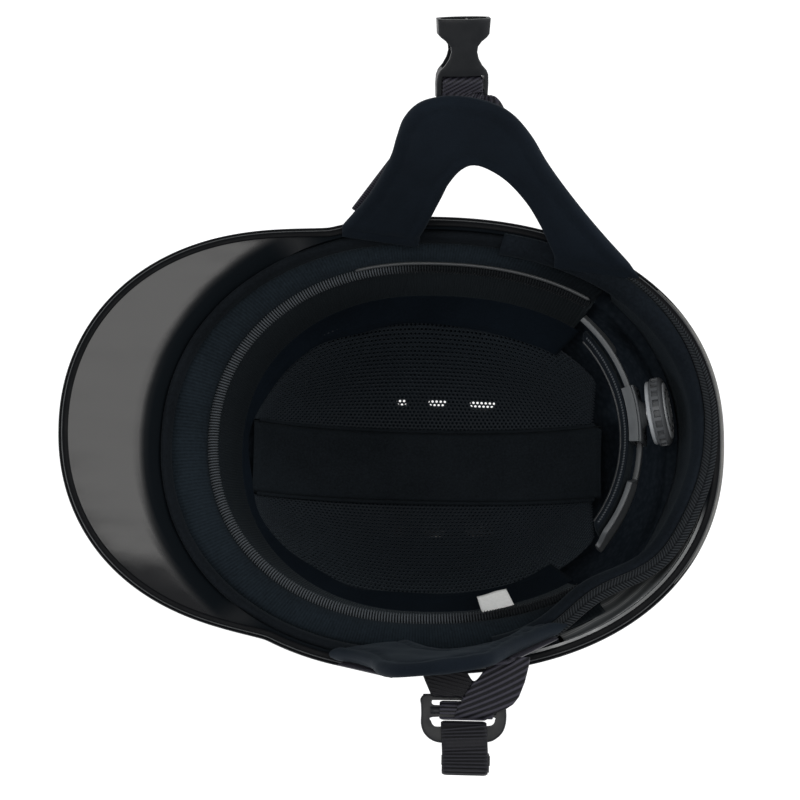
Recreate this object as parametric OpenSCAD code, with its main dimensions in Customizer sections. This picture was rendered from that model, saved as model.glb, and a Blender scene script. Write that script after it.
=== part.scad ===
// Riding helmet with a wide peak, lying on its crown with the opening up.
// X runs from the peak (-X) to the nape (+X), +Y is the wearer's left, +Z is up out of the opening.
// The origin is the middle of the small flat on the crown vent cap.

/* [Shell] */
// Half length of the shell in front of the origin
shell_front = 126; // [120:1:132]
// Half length of the shell behind the origin
shell_rear = 137.5; // [133:0.5:143]
// Half width of the shell
shell_half_w = 104.5; // [101:0.5:109]
// Mean height of the rim above the resting flat
rim_h = 138; // [130:1:146]
// How much higher the nape is than the mean rim
rim_tilt = 12; // [6:1:14]
// Thickness of the moulded shell
shell_t = 2.5; // [2:0.1:3]
// How far the peak stands out at the middle of the brow
peak_w = 42; // [30:1:50]
// Rise of the peak's edge over its width
peak_rise = 7; // [2:1:12]

/* [Liner] */
// Depth from the shell's outside to the headband's inner face at the sides
band_depth = 20; // [19:0.5:22]
// Extra headband depth at the brow
brow_extra = 6; // [2:0.5:8]
// Half width of the plain crown panel
crown_pad_half_w = 18.6; // [14:0.2:22]

/* [Fit system] */
// Radius of the rear cradle's arc
cradle_r = 77.5; // [75:0.5:79]
// Backward tilt of the cradle band and its dial
cradle_tilt = 14; // [11:1:16]
// Direction of the dial, turned from straight back
dial_turn = 9; // [6:1:12]
// Diameter of the dial
dial_d = 33; // [28:0.5:34]

/* [Harness] */
// Width of the webbing
strap_w = 19.8; // [18:0.1:20]
// Lean of the left harness pad above the horizontal
left_lean = 56.8; // [50:0.1:64]
// Lean of the right harness pad above the horizontal
right_lean = 82; // [78:1:86]
// Thickness of the harness pads
pad_t = 6; // [4:0.5:7]
// Length of the chin strap that hangs below its fold
strap_drop = 92; // [70:1:96]

/* [Hidden] */
$fn = 48;

pp = 0.86;   // fullness of the dome outwards
qq = 0.95;   // fullness of the dome downwards
z0 = 2.5;    // outside of the shell at the crown
nf = 2.15;   // squareness of the plan in front
nr = 2.26;   // squareness of the plan behind
peak_turn = 6;    // the peak's middle stands this many degrees to the left
ring_off = 1.5;   // the headband sits this far to the left in the shell

function sgn(v) = v < 0 ? -1 : 1;
function ex(t) = cos(t) > 0 ? 2 / nr : 2 / nf;
function aa(t) = cos(t) > 0 ? shell_rear : shell_front;
function ux(t) = sgn(cos(t)) * pow(abs(cos(t)), ex(t));
function uy(t) = sgn(sin(t)) * pow(abs(sin(t)), ex(t));
function zr(t) = rim_h + rim_tilt * cos(t) - (cos(t) < 0 ? 3 * cos(t) * cos(t) : 0);
// point at direction t, profile angle f, offset d inwards from the outer surface
function pf(t, f, d) = let (r = pow(sin(f), pp))
  [(aa(t) - d) * ux(t) * r, (shell_half_w - d) * uy(t) * r,
   zr(t) - (zr(t) - z0 - d) * pow(cos(f), qq)];
// point at direction t, depth z under the rim, offset d
function pz(t, z, d) = let (u = min(1, max(0, z / (zr(t) - z0 - d))),
    r = pow(sin(acos(pow(u, 1 / qq))), pp))
  [(aa(t) - d) * ux(t) * r, (shell_half_w - d) * uy(t) * r, zr(t) - z];
// peak width at direction t
function pk(t) = let (al = abs(180 - peak_turn - t))
  al < 65.5 ? peak_w * pow(cos(90 / 65.5 * al), 1.3) : 0;
// point on the flange: s from 0 at the rim to 1 at the peak's edge
function fl(t, s, d, h) = let (w = pk(t) * s + 0.8 * s, r0 = aa(t) - d,
    nx = ux(t) / aa(t), ny = uy(t) / shell_half_w, nn = sqrt(nx * nx + ny * ny))
  [(aa(t) - d) * ux(t) + w * mixx(t, nx / nn), (shell_half_w - d) * uy(t) + w * mixy(t, ny / nn),
   zr(t) + h + peak_rise * pow(pk(t) / peak_w, 0.8) * pow(s, 1.6)];
function mk(t) = 0.47 * min(1, pk(t) / 6);
function mixx(t, n) = mk(t) * cos(t) + (1 - mk(t)) * n;
function mixy(t, n) = mk(t) * sin(t) + (1 - mk(t)) * n;

// closed ring of cross-sections: rows[i] is the section at direction i
module ring(rows) {
  n = len(rows); m = len(rows[0]);
  polyhedron(points = [for (r = rows) for (p = r) p],
    faces = [for (i = [0:n - 1]) for (j = [0:m - 1])
      let (a = i * m + j, b = i * m + (j + 1) % m, c = ((i + 1) % n) * m + (j + 1) % m, d = ((i + 1) % n) * m + j)
      for (f = [[a, b, c], [a, c, d]]) f], convexity = 8);
}
// open arc of cross-sections with capped ends
module arc(rows) {
  n = len(rows); m = len(rows[0]); k = n * m;
  function mid(r) = [for (a = [0:2]) let (s = [for (p = r) p[a]]) sum(s) / m];
  polyhedron(points = concat([for (r = rows) for (p = r) p], [mid(rows[0]), mid(rows[n - 1])]),
    faces = concat([for (i = [0:n - 2]) for (j = [0:m - 1])
      let (a = i * m + j, b = i * m + (j + 1) % m, c = (i + 1) * m + (j + 1) % m, d = (i + 1) * m + j)
      for (f = [[a, b, c], [a, c, d]]) f],
      [for (j = [0:m - 1]) [(j + 1) % m, j, k]],
      [for (j = [0:m - 1]) [(n - 1) * m + j, (n - 1) * m + (j + 1) % m, k + 1]]), convexity = 8);
}
function sum(v, i = 0) = i >= len(v) ? 0 : v[i] + sum(v, i + 1);
// panel between two grids of points: lo lies under hi
module panel(hi, lo) {
  n = len(hi); m = len(hi[0]); k = n * m;
  polyhedron(points = concat([for (r = hi) for (p = r) p], [for (r = lo) for (p = r) p]),
    faces = concat(
      [for (i = [0:n - 2]) for (j = [0:m - 2]) let (a = i * m + j, b = a + 1, c = a + m + 1, d = a + m)
        for (f = [[a, b, c], [a, c, d]]) f],
      [for (i = [0:n - 2]) for (j = [0:m - 2]) let (a = k + i * m + j, b = a + 1, c = a + m + 1, d = a + m)
        for (f = [[a, c, b], [a, d, c]]) f],
      [for (i = [0:n - 2]) for (f = let (a = i * m, d = a + m) [[a, d, k + d], [a, k + d, k + a]]) f],
      [for (i = [0:n - 2]) for (f = let (a = i * m + m - 1, d = a + m) [[a, k + d, d], [a, k + a, k + d]]) f],
      [for (j = [0:m - 2]) for (f = let (a = j, b = j + 1) [[a, k + b, b], [a, k + a, k + b]]) f],
      [for (j = [0:m - 2]) for (f = let (a = (n - 1) * m + j, b = a + 1) [[a, b, k + b], [a, k + b, k + a]]) f]),
    convexity = 8);
}

// ---- shell ----
shell_n = 48;
f0 = 9;
out_f = [9, 20, 31, 42, 53, 64, 74, 83, 90];
module vents(h0, h1, grow) {
  for (s = [-1, 1]) for (v = [[-10, 6], [9, 10], [33, 14]])
    translate([v[0] - v[1] / 2, s * 36, 16]) rotate([s * 14, 0, 0])
      translate([0, -2.5 - grow, h0 - 16]) cube([v[1], 5 + 2 * grow, h1 - h0]);
}
module outer_shell() color([0.02, 0.02, 0.025])
  difference() {
    ring([for (i = [0:shell_n - 1]) let (t = i * 360 / shell_n)
      concat([for (f = out_f) pf(t, f, 0)], [fl(t, 0.5, 0, 0.3), fl(t, 1, 0, 0.3), fl(t, 1, 0, 2.3), fl(t, 0.5, 0, 2.6)],
        [for (k = [len(out_f) - 1:-1:0]) let (f = out_f[k]) f > 89 ? pf(t, f, shell_t) + [0, 0, 2] : pf(t, f, shell_t)])]);
    vents(1, 22, 0);
  }
module rim_trim() color([0.03, 0.03, 0.03])
  ring([for (i = [0:shell_n - 1]) let (t = i * 360 / shell_n, e = fl(t, 1, 0, 1.3), g = fl(t, 0.5, 0, 1.3),
      dx = mixx(t, ux(t) / aa(t)), dy = mixy(t, uy(t) / shell_half_w), l = sqrt(dx * dx + dy * dy), nx = dx / l, ny = dy / l)
    [for (j = [0:5]) let (w = 1.45 + 1.35 * cos(j * 60), h = -1.8 * sin(j * 60)) [e[0] + w * nx, e[1] + w * ny, e[2] - h]]]);
module rear_trim() color([0.28, 0.28, 0.29])
  arc([for (i = [0:14]) let (t = -19 + i * 60 / 14) [pz(t, 3, -0.25), pz(t, 3, -1.3), pz(t, 10, -1.3), pz(t, 10, -0.25)]]);
function sup(a, b, n, k) = [for (i = [0:k - 1]) let (t = i * 360 / k)
  [a * sgn(cos(t)) * pow(abs(cos(t)), 2 / n), b * sgn(sin(t)) * pow(abs(sin(t)), 2 / n)]];
module crown_vent_cap() color([0.03, 0.03, 0.03])
  union() {
    linear_extrude(3.2) polygon(sup(34, 26, 2.3, 40));
    translate([0, 0, 3]) linear_extrude(7) polygon(sup(22, 17, 2.3, 40));
  }

// ---- liners ----
function deps(t) = 5.8 + 0.6222 * (dd(t) - 6.6) - (cos(t) > 0 ? 3 * cos(t) * cos(t) : 0);
function zeps(t) = 12.5 + (cos(t) > 0 ? 34 * cos(t) * cos(t) : 0);
eps_f = [9, 21, 33, 45, 56, 65];
module eps_liner() color([0.12, 0.12, 0.12])
  difference() {
    ring([for (i = [0:39]) let (t = i * 9, zl = zeps(t))
      concat([for (f = eps_f) pf(t, f, 3.7)], [pz(t, (zl + 52) / 2, 3.7), pz(t, zl, 3.7)],
        [pz(t, zl, deps(t)), pz(t, (zl + 52) / 2, deps(t))], [for (k = [len(eps_f) - 1:-1:0]) pf(t, eps_f[k], deps(t))])]);
    vents(1, 34, 0.2);
  }
// height of the offset surface over a point of the plan
function hin(x, y, d) = let (a = (x > 0 ? shell_rear : shell_front) - d, b = shell_half_w - d,
    n = x > 0 ? nr : nf, r = max(0.001, pow(pow(abs(x / a), n) + pow(abs(y / b), n), 1 / n)),
    f = asin(min(1, pow(r, 1 / pp))), c = sgn(x) * pow(min(1, abs(x / a) / r), n / 2),
    z = rim_h + rim_tilt * c - (c < 0 ? 3 * c * c : 0))
  z - (z - z0 - d) * pow(cos(f), qq);
module crown_pad() color([0.05, 0.055, 0.06])
  panel([for (i = [0:16]) let (x = -84.5 + i * 176.5 / 16) [for (j = [0:5]) let (y = -crown_pad_half_w + j * crown_pad_half_w / 2.5) [x, y, hin(x, y, 24.5)]]],
        [for (i = [0:16]) let (x = -84.5 + i * 176.5 / 16) [for (j = [0:5]) let (y = -crown_pad_half_w + j * crown_pad_half_w / 2.5) [x, y, hin(x, y, 20.6)]]]);
function ym(x, d) = let (a = (x > 0 ? shell_rear : shell_front) - d, n = x > 0 ? nr : nf)
  (shell_half_w - d) * pow(pow(0.86, n) - pow(abs(x / a), n), 1 / n);
module mesh_panel() {
  y0 = crown_pad_half_w + 1.2;
  panel([for (i = [0:14]) let (x = -82 + i * 168 / 14) [for (j = [0:7]) let (y = y0 + (ym(x, 22.2) - y0) * j / 7) [x, y, hin(x, y, 22.2)]]],
        [for (i = [0:14]) let (x = -82 + i * 168 / 14) [for (j = [0:7]) let (y = y0 + (ym(x, 22.2) - y0) * j / 7) [x, y, hin(x, y, 20.8)]]]);
}
module mesh_panel_left() color([0.06, 0.06, 0.065]) mesh_panel();
module mesh_panel_right() color([0.06, 0.06, 0.065]) mirror([0, 1, 0]) mesh_panel();
function dd(t) = band_depth - ring_off * sin(t) + (cos(t) < 0 ? brow_extra * cos(t) * cos(t) : 0);
hb = [[7, 9.4], [9, 5.5], [14, 3.6], [22, 3.8], [26.5, 6], [28.8, 11], [29.5, 20], [29, 34], [27.8, 48], [25.2, 56], [21.5, 57], [21, 12], [12, 11]];
module headband_pad() color([0.05, 0.06, 0.065])
  arc([for (i = [0:36]) let (t = 50 + i * 260 / 36, k = (dd(t) - 6.6) / 22.5) [for (p = hb) pz(t, p[1], 6.6 + (p[0] - 7) * k)]]);
module headband_binding() color([0.04, 0.045, 0.05])
  arc([for (i = [0:44]) let (t = 50 + i * 260 / 44, k = dd(t) + 1.1) [for (j = [0:5]) pz(t, 9.5 + 1.7 * sin(j * 60), k + 1.7 * cos(j * 60))]]);
module size_tag() color([0.9, 0.9, 0.9])
  arc([for (i = [0:3]) let (t = -76.3 + i * 2.7) [pz(t, 19, dd(t) + 1.8), pz(t, 27, dd(t) + 9.9), pz(t, 26.6, dd(t) + 10.3), pz(t, 18.6, dd(t) + 2.2)]]);
// the band leaves the rim at the right rear and runs inwards to the right harness pad
function nin(t) = 5.6 * exp(-pow((t + 49) / 11.5, 2)) - 1.3 * pow(cos(t), 8);
nape_t = [-76, -71, -66, -61, -56, -51.5, -47.6, -47.2, -42, -36, -30, -22, -14, -6, 2, 10, 18, 26, 34, 41, 47.2, 47.6, 55, 62, 69, 76];
module nape_band() color([0.04, 0.045, 0.05])
  arc([for (t = nape_t) let (zl = abs(t) < 47.4 ? zeps(t) - 2.6 : 3.1, e = nin(t))
    [pz(t, 1.4, 5.2 + e), pz(t, 0.6, 7 + e), pz(t, 1.2, 10 + e), pz(t, 2.4, 11.4 + e), pz(t, max(2.7, min(14, zl - 3)), 11.2 + e), pz(t, max(2.9, zl - 2), 8.2 + e), pz(t, zl, 7.4 + e), pz(t, zl, 5.2 + e)]]);
module nape_binding() color([0.03, 0.03, 0.035])
  arc([for (i = [0:24]) let (t = -76 + i * 152 / 24, e = nin(t)) [for (j = [0:5]) pz(t, 0, 6.1 + max(e, -0.2) + 2.8 * cos(j * 60)) + [0, 0, 1.3 - 1.7 * sin(j * 60)]]]);
anchor_t = [112, 248, 52, 292];
module strap_anchors() color([0.1, 0.1, 0.1])
  for (t = anchor_t) arc([for (i = [0:3]) let (s = t - 4 + i * 8 / 3) [pz(s, 1.6, 3.3), pz(s, 12, 3.3), pz(s, 12, 4.9), pz(s, 1.6, 4.9)]]);
module anchor_rivets() color([0.2, 0.2, 0.2])
  for (t = anchor_t) let (p = pz(t, 8, 2.8), nx = ux(t) / aa(t), ny = uy(t) / shell_half_w)
    translate(p) rotate([0, 90, atan2(ny, nx)]) union() {
      translate([0, 0, -2.6]) cylinder(h = 6.2, r = 1.7, $fn = 24);
      translate([0, 0, 3.1]) cylinder(h = 1, r1 = 3.6, r2 = 2.6, $fn = 32);
      translate([0, 0, -3.1]) cylinder(h = 0.9, r = 3.2, $fn = 32);
    }

// ---- rear cradle and dial ----
cc = [27, 5];     // centre of the cradle's arc
cz = 120;         // height of the dial's axis
function sec(m, f) = [cradle_r + m * cos(cradle_tilt) - f * sin(cradle_tilt), cz + m * sin(cradle_tilt) + f * cos(cradle_tilt)];
// band on the cone between offsets m0 to m1, heights k0 to k1, angles g0 to g1
module band(m0, m1, k0, k1, g0, g1)
  translate([cc[0], cc[1], 0]) rotate([0, 0, g0]) rotate_extrude(angle = g1 - g0, $fn = 180)
    polygon([sec(m0, k0), sec(m1, k0), sec(m1, k1), sec(m0, k1)]);
module at_dial() translate([cc[0], cc[1], 0]) rotate([0, 0, dial_turn]) translate([cradle_r, 0, cz]) rotate([0, 90 - cradle_tilt, 0]) children();
module cradle_housing() color([0.1, 0.1, 0.105])
  union() {
    band(-2.4, -1.2, -11, 11, dial_turn - 10, dial_turn + 10);
    band(-1.3, 2.2, 9.2, 11, dial_turn - 10, dial_turn + 10);
    band(-1.3, 2.2, -11, -9.2, dial_turn - 10, dial_turn + 10);
  }
module cradle_cover() color([0.12, 0.12, 0.125])
  difference() {
    union() {
      band(2.25, 3.4, -11, 11, dial_turn - 10, dial_turn + 10);
      at_dial() translate([0, 0, 3]) cylinder(h = 2.6, r = 5.4);
    }
    at_dial() translate([0, 0, -1]) cylinder(h = 12, r = 3.3);
  }
module cradle_arm_left() color([0.11, 0.11, 0.115])
  union() {
    band(-0.8, 1.8, 3.6, 8.4, dial_turn - 1, dial_turn + 25);
    band(-0.8, 1.8, -8.2, 8.4, dial_turn + 24.6, dial_turn + 33);
    band(-0.8, 1.8, 0.4, 8.4, dial_turn + 32.6, dial_turn + 40);
  }
module cradle_arm_right() color([0.11, 0.11, 0.115])
  union() {
    band(-0.8, 1.8, -8.4, -3.6, dial_turn - 25, dial_turn + 1);
    band(-0.8, 1.8, -8.4, 8.2, dial_turn - 50, dial_turn - 24.6);
  }
module cradle_pad() color([0.05, 0.055, 0.06]) band(-7.4, -2.7, -9, 9.6, dial_turn - 46, dial_turn + 36);
module housing_screws() color([0.5, 0.5, 0.52])
  at_dial() for (s = [-1, 1]) translate([0, s * 10.4, 0]) union() {
    translate([0, 0, 2.6]) cylinder(h = 1, r = 1.9, $fn = 32);
    translate([0, 0, -1.9]) cylinder(h = 4.6, r = 0.9, $fn = 24);
  }
module pinion_shaft() color([0.2, 0.2, 0.2])
  at_dial() difference() {
    union() {
      translate([0, 0, -0.9]) cylinder(h = 3, r = 2.6);
      translate([0, 0, 2]) cylinder(h = 7.9, r = 3.22);
    }
    for (g = [0:30:330]) rotate([0, 0, g]) translate([3.3, 0, 5.9]) cylinder(h = 5, r = 0.45, $fn = 16);
  }
module detent_spring() color([0.6, 0.6, 0.62])
  at_dial() translate([0, 0, 5.85]) difference() { cylinder(h = 0.9, r = 5.2); translate([0, 0, -1]) cylinder(h = 3, r = 3.5); }
module dial_knob() color([0.2, 0.2, 0.205])
  at_dial() difference() {
    union() {
      translate([0, 0, 7.2]) cylinder(h = 2, r = dial_d / 2 - 1.3);
      translate([0, 0, 9.1]) cylinder(h = 6.4, r = dial_d / 2);
    }
    translate([0, 0, 6]) cylinder(h = 3.95, r = 3.3);
    translate([0, 0, 14.6]) cylinder(h = 3, r = dial_d / 2 - 2.5);
    for (g = [0:20:340]) rotate([0, 0, g]) translate([dial_d / 2 + 0.6, 0, 10.4]) cylinder(h = 3.8, r = 1.9, $fn = 24);
  }
module dial_face() color([0.45, 0.46, 0.47])
  at_dial() translate([0, 0, 14.65]) cylinder(h = 1.6, r = dial_d / 2 - 2.8);

// ---- left harness ----
ax = [-42.6, 100, 141];
module lefty(lean) translate(ax) rotate([0, 0, -8]) rotate([0, -4, 0]) rotate([lean, 0, 0]) children();
pad_pts = [[4, 4], [8, 10], [17, 26], [26, 48], [29, 61], [32, 72], [38, 80.5], [46, 84.5], [54, 86.5], [65, 87],
  [74, 85], [81, 80], [89, 71], [97, 58.5], [106, 45], [115, 31], [126, 17], [138, 5], [132, 4],
  [106, 4], [103.5, 9.5], [96.5, 23.5], [89, 35.5], [78, 47], [66, 52], [59.5, 48], [54, 38], [50.5, 28.5], [44, 9.5], [41, 4]];
// the right pad's rear leg stands further forward: k shortens it along the rim
module harness_pad(lean, k) lefty(lean) translate([0, 0, -pad_t / 2]) linear_extrude(pad_t)
  polygon([for (p = pad_pts) [p[0] > 80 ? 80 + (p[0] - 80) * k : p[0], p[1] * 1.04]]);
module left_harness_pad() color([0.05, 0.055, 0.06]) harness_pad(left_lean, 1);
module leg(p, q, w, h0, h1) let (d = q - p, l = norm(d), n = [-d[1], d[0]] / l * w / 2)
  translate([0, 0, h0]) linear_extrude(h1 - h0) polygon([p + n, p - n, q - n, q + n]);
module legs(rear, rear_w) union() {
  leg([16, 10], [46, 77], 16, -pad_t / 2 - 1.9, -pad_t / 2 - 0.3);
  leg([rear, 10], [76, 77], rear_w, -pad_t / 2 - 1.9, -pad_t / 2 - 0.3);
  translate([0, 0, -pad_t / 2 - 1.9]) linear_extrude(1.6) polygon([[38, 73], [84, 73], [76, 82], [46, 82]]);
}
bk = [15.9, 148.5, 207.5];   // bar of the female buckle
module left_webbing() color([0.06, 0.06, 0.065])
  union() {
    lefty(left_lean) legs(119, 13);
    at_female() difference() {
      translate([-9.4, 0, 0]) rotate([0, 90, 0]) cylinder(h = 18.8, r = 3.1, $fn = 40);
      translate([-12, 0, 0]) rotate([0, 90, 0]) cylinder(h = 24, r = 1.75, $fn = 40);
    }
    hull() {
      lefty(left_lean) translate([51, 80.2, -pad_t / 2 - 1.85]) cube([17.8, 1.6, 1.5]);
      at_female() rotate([-40, 0, 0]) translate([-8.5, -1, 1.85]) cube([17, 1, 1.2]);
    }
  }
module at_female() translate(bk) rotate([30, 0, 0]) rotate([0, 12, 0]) children();
fb_pts = [[11.6, -1.6], [11.6, 8.2], [10.6, 9.9], [8, 12.4], [6.2, 16], [5.7, 18.8], [6.1, 21.2], [7.8, 23], [10.6, 24.9],
  [11.4, 26.3], [11.8, 33], [-11.8, 33], [-11.4, 26.3], [-10.6, 24.9], [-7.8, 23], [-6.1, 21.2], [-5.7, 18.8], [-6.2, 16], [-8, 12.4],
  [-10.6, 9.9], [-11.6, 8.2], [-11.6, -1.6]];
module female_buckle() color([0.1, 0.1, 0.1])
  at_female() union() {
    difference() {
      translate([0, 0, -4.4]) linear_extrude(8.8) polygon(fb_pts);
      translate([-9.9, 11.2, -2.8]) cube([19.8, 30, 5.6]);
      translate([-9.75, -5, -6]) cube([19.5, 13, 12]);
    }
    translate([-10.6, 0, 0]) rotate([0, 90, 0]) cylinder(h = 21.2, r = 1.4, $fn = 32);
  }

// ---- right harness ----
module right_harness_pad() color([0.05, 0.055, 0.06]) mirror([0, 1, 0]) harness_pad(right_lean, 0.52);
wz = 206;          // height of the flat webbing above the slide
sb = [22, -122.8, 204.4];   // middle bar of the slide
module right_webbing() color([0.06, 0.06, 0.065])
  union() {
    mirror([0, 1, 0]) lefty(right_lean) legs(101.8, 15);
    translate([-0.6, 1.6, wz + 0.9]) difference() {
      linear_extrude(1.6) polygon([[4.7, -108.6], [50.2, -102.2], [47, -110.8], [42.6, -119.2], [34.5, -124.4], [12.2, -124.4], [8.5, -119]]);
      translate([0, 0, -1]) linear_extrude(4) polygon([[19, -99], [35, -99], [26.5, -110.4]]);
    }
    difference() {
      translate(sb - [10.3, 0, 0]) rotate([0, 90, 0]) cylinder(h = 20.6, r = 4.1, $fn = 40);
      translate(sb - [12, 0, 0]) rotate([0, 90, 0]) cylinder(h = 26, r = 2.6, $fn = 40);
    }
  }
module strap_slide() color([0.09, 0.09, 0.095])
  union() {
    difference() {
      translate([sb[0], sb[1] + 124.4, 202.9]) linear_extrude(3) polygon([[-15.6, -117.6], [-17.6, -118.4], [-18.4, -121], [-18.2, -130],
        [-16.6, -134], [-13, -137], [-8, -138], [9, -137.4], [13.6, -136], [17, -132.6], [18.2, -128], [18, -121.6], [15.6, -119]]);
      translate([sb[0] - 13, sb[1] - 5.8, 195]) cube([26, 10.1, 20]);
    }
    translate(sb - [14, 0, 0]) rotate([0, 90, 0]) cylinder(h = 28, r = 2.2, $fn = 32);
  }
fold = [23, -145.8, 203.6];   // where the chin strap turns down
module chin_strap_upper() color([0.06, 0.06, 0.065])
  union() {
    translate([fold[0] - strap_w / 2, fold[1], 206.2]) cube([strap_w, 17.4, 1.5]);
    difference() {
      translate(fold - [strap_w / 2, 0, 0]) rotate([0, 90, 0]) cylinder(h = strap_w, r = 4.1, $fn = 40);
      translate(fold - [strap_w, 0, 0]) rotate([0, 90, 0]) cylinder(h = 2 * strap_w, r = 2.6, $fn = 40);
      translate([fold[0] - strap_w, fold[1] + 0.8, 190]) cube([2 * strap_w, 10, 17]);
      translate([fold[0] - strap_w, fold[1] - 9.6, 190]) cube([2 * strap_w, 16, 13.6]);
    }
  }
// the strap hangs 1.5 degrees off the vertical; the buckle's bar is at its lower end
module at_drop() translate([fold[0], fold[1] - 3.1, 203]) rotate([0, -1.5, 0]) children();
module at_male() at_drop() translate([0, 0, -strap_drop]) children();
module chin_strap_lower() color([0.06, 0.06, 0.065])
  at_male() union() {
    translate([-strap_w / 2, -0.8, 2.6]) cube([strap_w, 1.6, strap_drop - 3]);
    difference() {
      translate([-9.6, 0, 0]) rotate([0, 90, 0]) cylinder(h = 19.2, r = 3.2, $fn = 40);
      translate([-12, 0, 0]) rotate([0, 90, 0]) cylinder(h = 24, r = 1.75, $fn = 40);
    }
  }
module male_buckle() color([0.1, 0.1, 0.1])
  at_male() union() {
    difference() {
      translate([-11.2, -4.2, -15]) cube([22.4, 8.4, 16.4]);
      translate([-10.1, -6, -7]) cube([20.2, 12, 12]);
      translate([-8.9, -6, -18]) cube([5.8, 12, 7]);
      translate([3.1, -6, -18]) cube([5.8, 12, 7]);
    }
    translate([-10.8, 0, 0]) rotate([0, 90, 0]) cylinder(h = 21.6, r = 1.4, $fn = 32);
    translate([-2, -1.6, -36]) cube([4, 3.2, 22]);
  }
prong_pts = [[3.6, -11.4], [8.4, -11.4], [8.6, -18], [10.6, -22], [11.9, -27], [11.2, -32], [8, -36.4], [5.4, -37.4], [4.2, -36.2],
  [6.6, -33], [7.4, -29], [6.2, -24], [4, -18]];
module prong() rotate([90, 0, 0]) translate([0, 0, -2.3]) linear_extrude(4.6) polygon(prong_pts);
module prong_front() color([0.11, 0.11, 0.11]) at_male() mirror([1, 0, 0]) prong();
module prong_rear() color([0.11, 0.11, 0.11]) at_male() prong();

outer_shell();
rim_trim();
rear_trim();
crown_vent_cap();
eps_liner();
crown_pad();
mesh_panel_left();
mesh_panel_right();
headband_pad();
headband_binding();
size_tag();
nape_band();
nape_binding();
strap_anchors();
anchor_rivets();
cradle_housing();
cradle_cover();
cradle_pad();
cradle_arm_left();
cradle_arm_right();
housing_screws();
pinion_shaft();
dial_knob();
dial_face();
detent_spring();
left_harness_pad();
left_webbing();
female_buckle();
right_harness_pad();
right_webbing();
strap_slide();
chin_strap_upper();
chin_strap_lower();
male_buckle();
prong_front();
prong_rear();
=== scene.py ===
import bpy
import bmesh
import math
import numpy as np
from mathutils import Vector, Matrix
from mathutils.geometry import delaunay_2d_cdt
from mathutils.kdtree import KDTree


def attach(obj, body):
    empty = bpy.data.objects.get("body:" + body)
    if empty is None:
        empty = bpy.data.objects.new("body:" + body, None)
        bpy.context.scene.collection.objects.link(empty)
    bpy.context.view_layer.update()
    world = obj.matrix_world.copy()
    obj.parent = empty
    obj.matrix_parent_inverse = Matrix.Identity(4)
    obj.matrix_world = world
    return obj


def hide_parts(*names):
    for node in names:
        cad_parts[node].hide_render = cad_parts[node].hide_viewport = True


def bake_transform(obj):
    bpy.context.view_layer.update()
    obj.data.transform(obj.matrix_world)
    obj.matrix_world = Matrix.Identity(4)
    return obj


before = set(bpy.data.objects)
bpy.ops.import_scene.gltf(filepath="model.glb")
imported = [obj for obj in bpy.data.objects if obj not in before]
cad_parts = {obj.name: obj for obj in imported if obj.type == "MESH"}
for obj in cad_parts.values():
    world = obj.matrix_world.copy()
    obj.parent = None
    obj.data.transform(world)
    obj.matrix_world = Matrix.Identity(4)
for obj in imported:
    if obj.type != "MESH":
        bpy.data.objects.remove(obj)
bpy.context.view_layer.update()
scene = bpy.context.scene
pi = math.pi

# ------------------------------------------------------------------ camera, lights, floor
CAM_R = Vector((0.99964, 0.02390, -0.01196))
CAM_F = Vector((-0.015231, 0.141813, -0.989777))
CAM_U = CAM_R.cross(CAM_F).normalized()
CAM_R = CAM_F.cross(CAM_U).normalized()
cam_data = bpy.data.cameras.new("camera")
cam = bpy.data.objects.new("camera", cam_data)
scene.collection.objects.link(cam)
cam_data.sensor_width = 36.0
cam_data.lens = 85.5
cam_data.clip_start, cam_data.clip_end = 0.01, 50
m = Matrix.Identity(4)
for i in range(3):
    m[i][0], m[i][1], m[i][2] = CAM_R[i], CAM_U[i], -CAM_F[i]
m[0][3], m[1][3], m[2][3] = 0.00442, -0.10726, 1.02435
cam.matrix_world = m
scene.camera = cam
scene.view_settings.view_transform = "Standard"
scene.view_settings.look = "None"

world = bpy.data.worlds.new("studio")
scene.world = world
world.use_nodes = True
bg = world.node_tree.nodes["Background"]
bg.inputs[0].default_value = (0.93, 0.96, 1.0, 1)
bg.inputs[1].default_value = 0.3


def area(name, loc, target, size, power, color=(1, 1, 1), size_y=None):
    d = bpy.data.lights.new(name, "AREA")
    d.energy = power
    d.color = color
    d.size = size
    if size_y:
        d.shape = "RECTANGLE"
        d.size_y = size_y
    o = bpy.data.objects.new(name, d)
    scene.collection.objects.link(o)
    o.location = loc
    o.rotation_mode = "QUATERNION"
    o.rotation_quaternion = (Vector(target) - Vector(loc)).to_track_quat("-Z", "Y")
    return o


area("soft_top", (0.06, 0.015, 1.9), (0.0, -0.02, 0.1), 1.15, 9.5, (1.0, 0.985, 0.96))
area("soft_left", (-1.5, -0.5, 1.0), (0, 0, 0.1), 0.9, 6, (0.95, 0.97, 1.0))
area("soft_right", (1.5, 0.4, 0.9), (0.05, 0, 0.12), 0.8, 9, (0.96, 0.98, 1.0))

# ------------------------------------------------------------------ materials
def node(nt, kind, **kw):
    n = nt.nodes.new(kind)
    for k, v in kw.items():
        setattr(n, k, v)
    return n


def material(name, base, rough=0.5, spec=0.5, coat=0.0, coat_rough=0.1, sheen=0.0, sheen_rough=0.4, metallic=0.0):
    mt = bpy.data.materials.new(name)
    mt.use_nodes = True
    b = mt.node_tree.nodes["Principled BSDF"]
    b.inputs["Base Color"].default_value = (*base, 1)
    b.inputs["Roughness"].default_value = rough
    b.inputs["Specular IOR Level"].default_value = spec
    b.inputs["Coat Weight"].default_value = coat
    b.inputs["Coat Roughness"].default_value = coat_rough
    b.inputs["Sheen Weight"].default_value = sheen
    b.inputs["Sheen Roughness"].default_value = sheen_rough
    b.inputs["Metallic"].default_value = metallic
    mt.diffuse_color = (*base, 1)
    return mt


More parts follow.
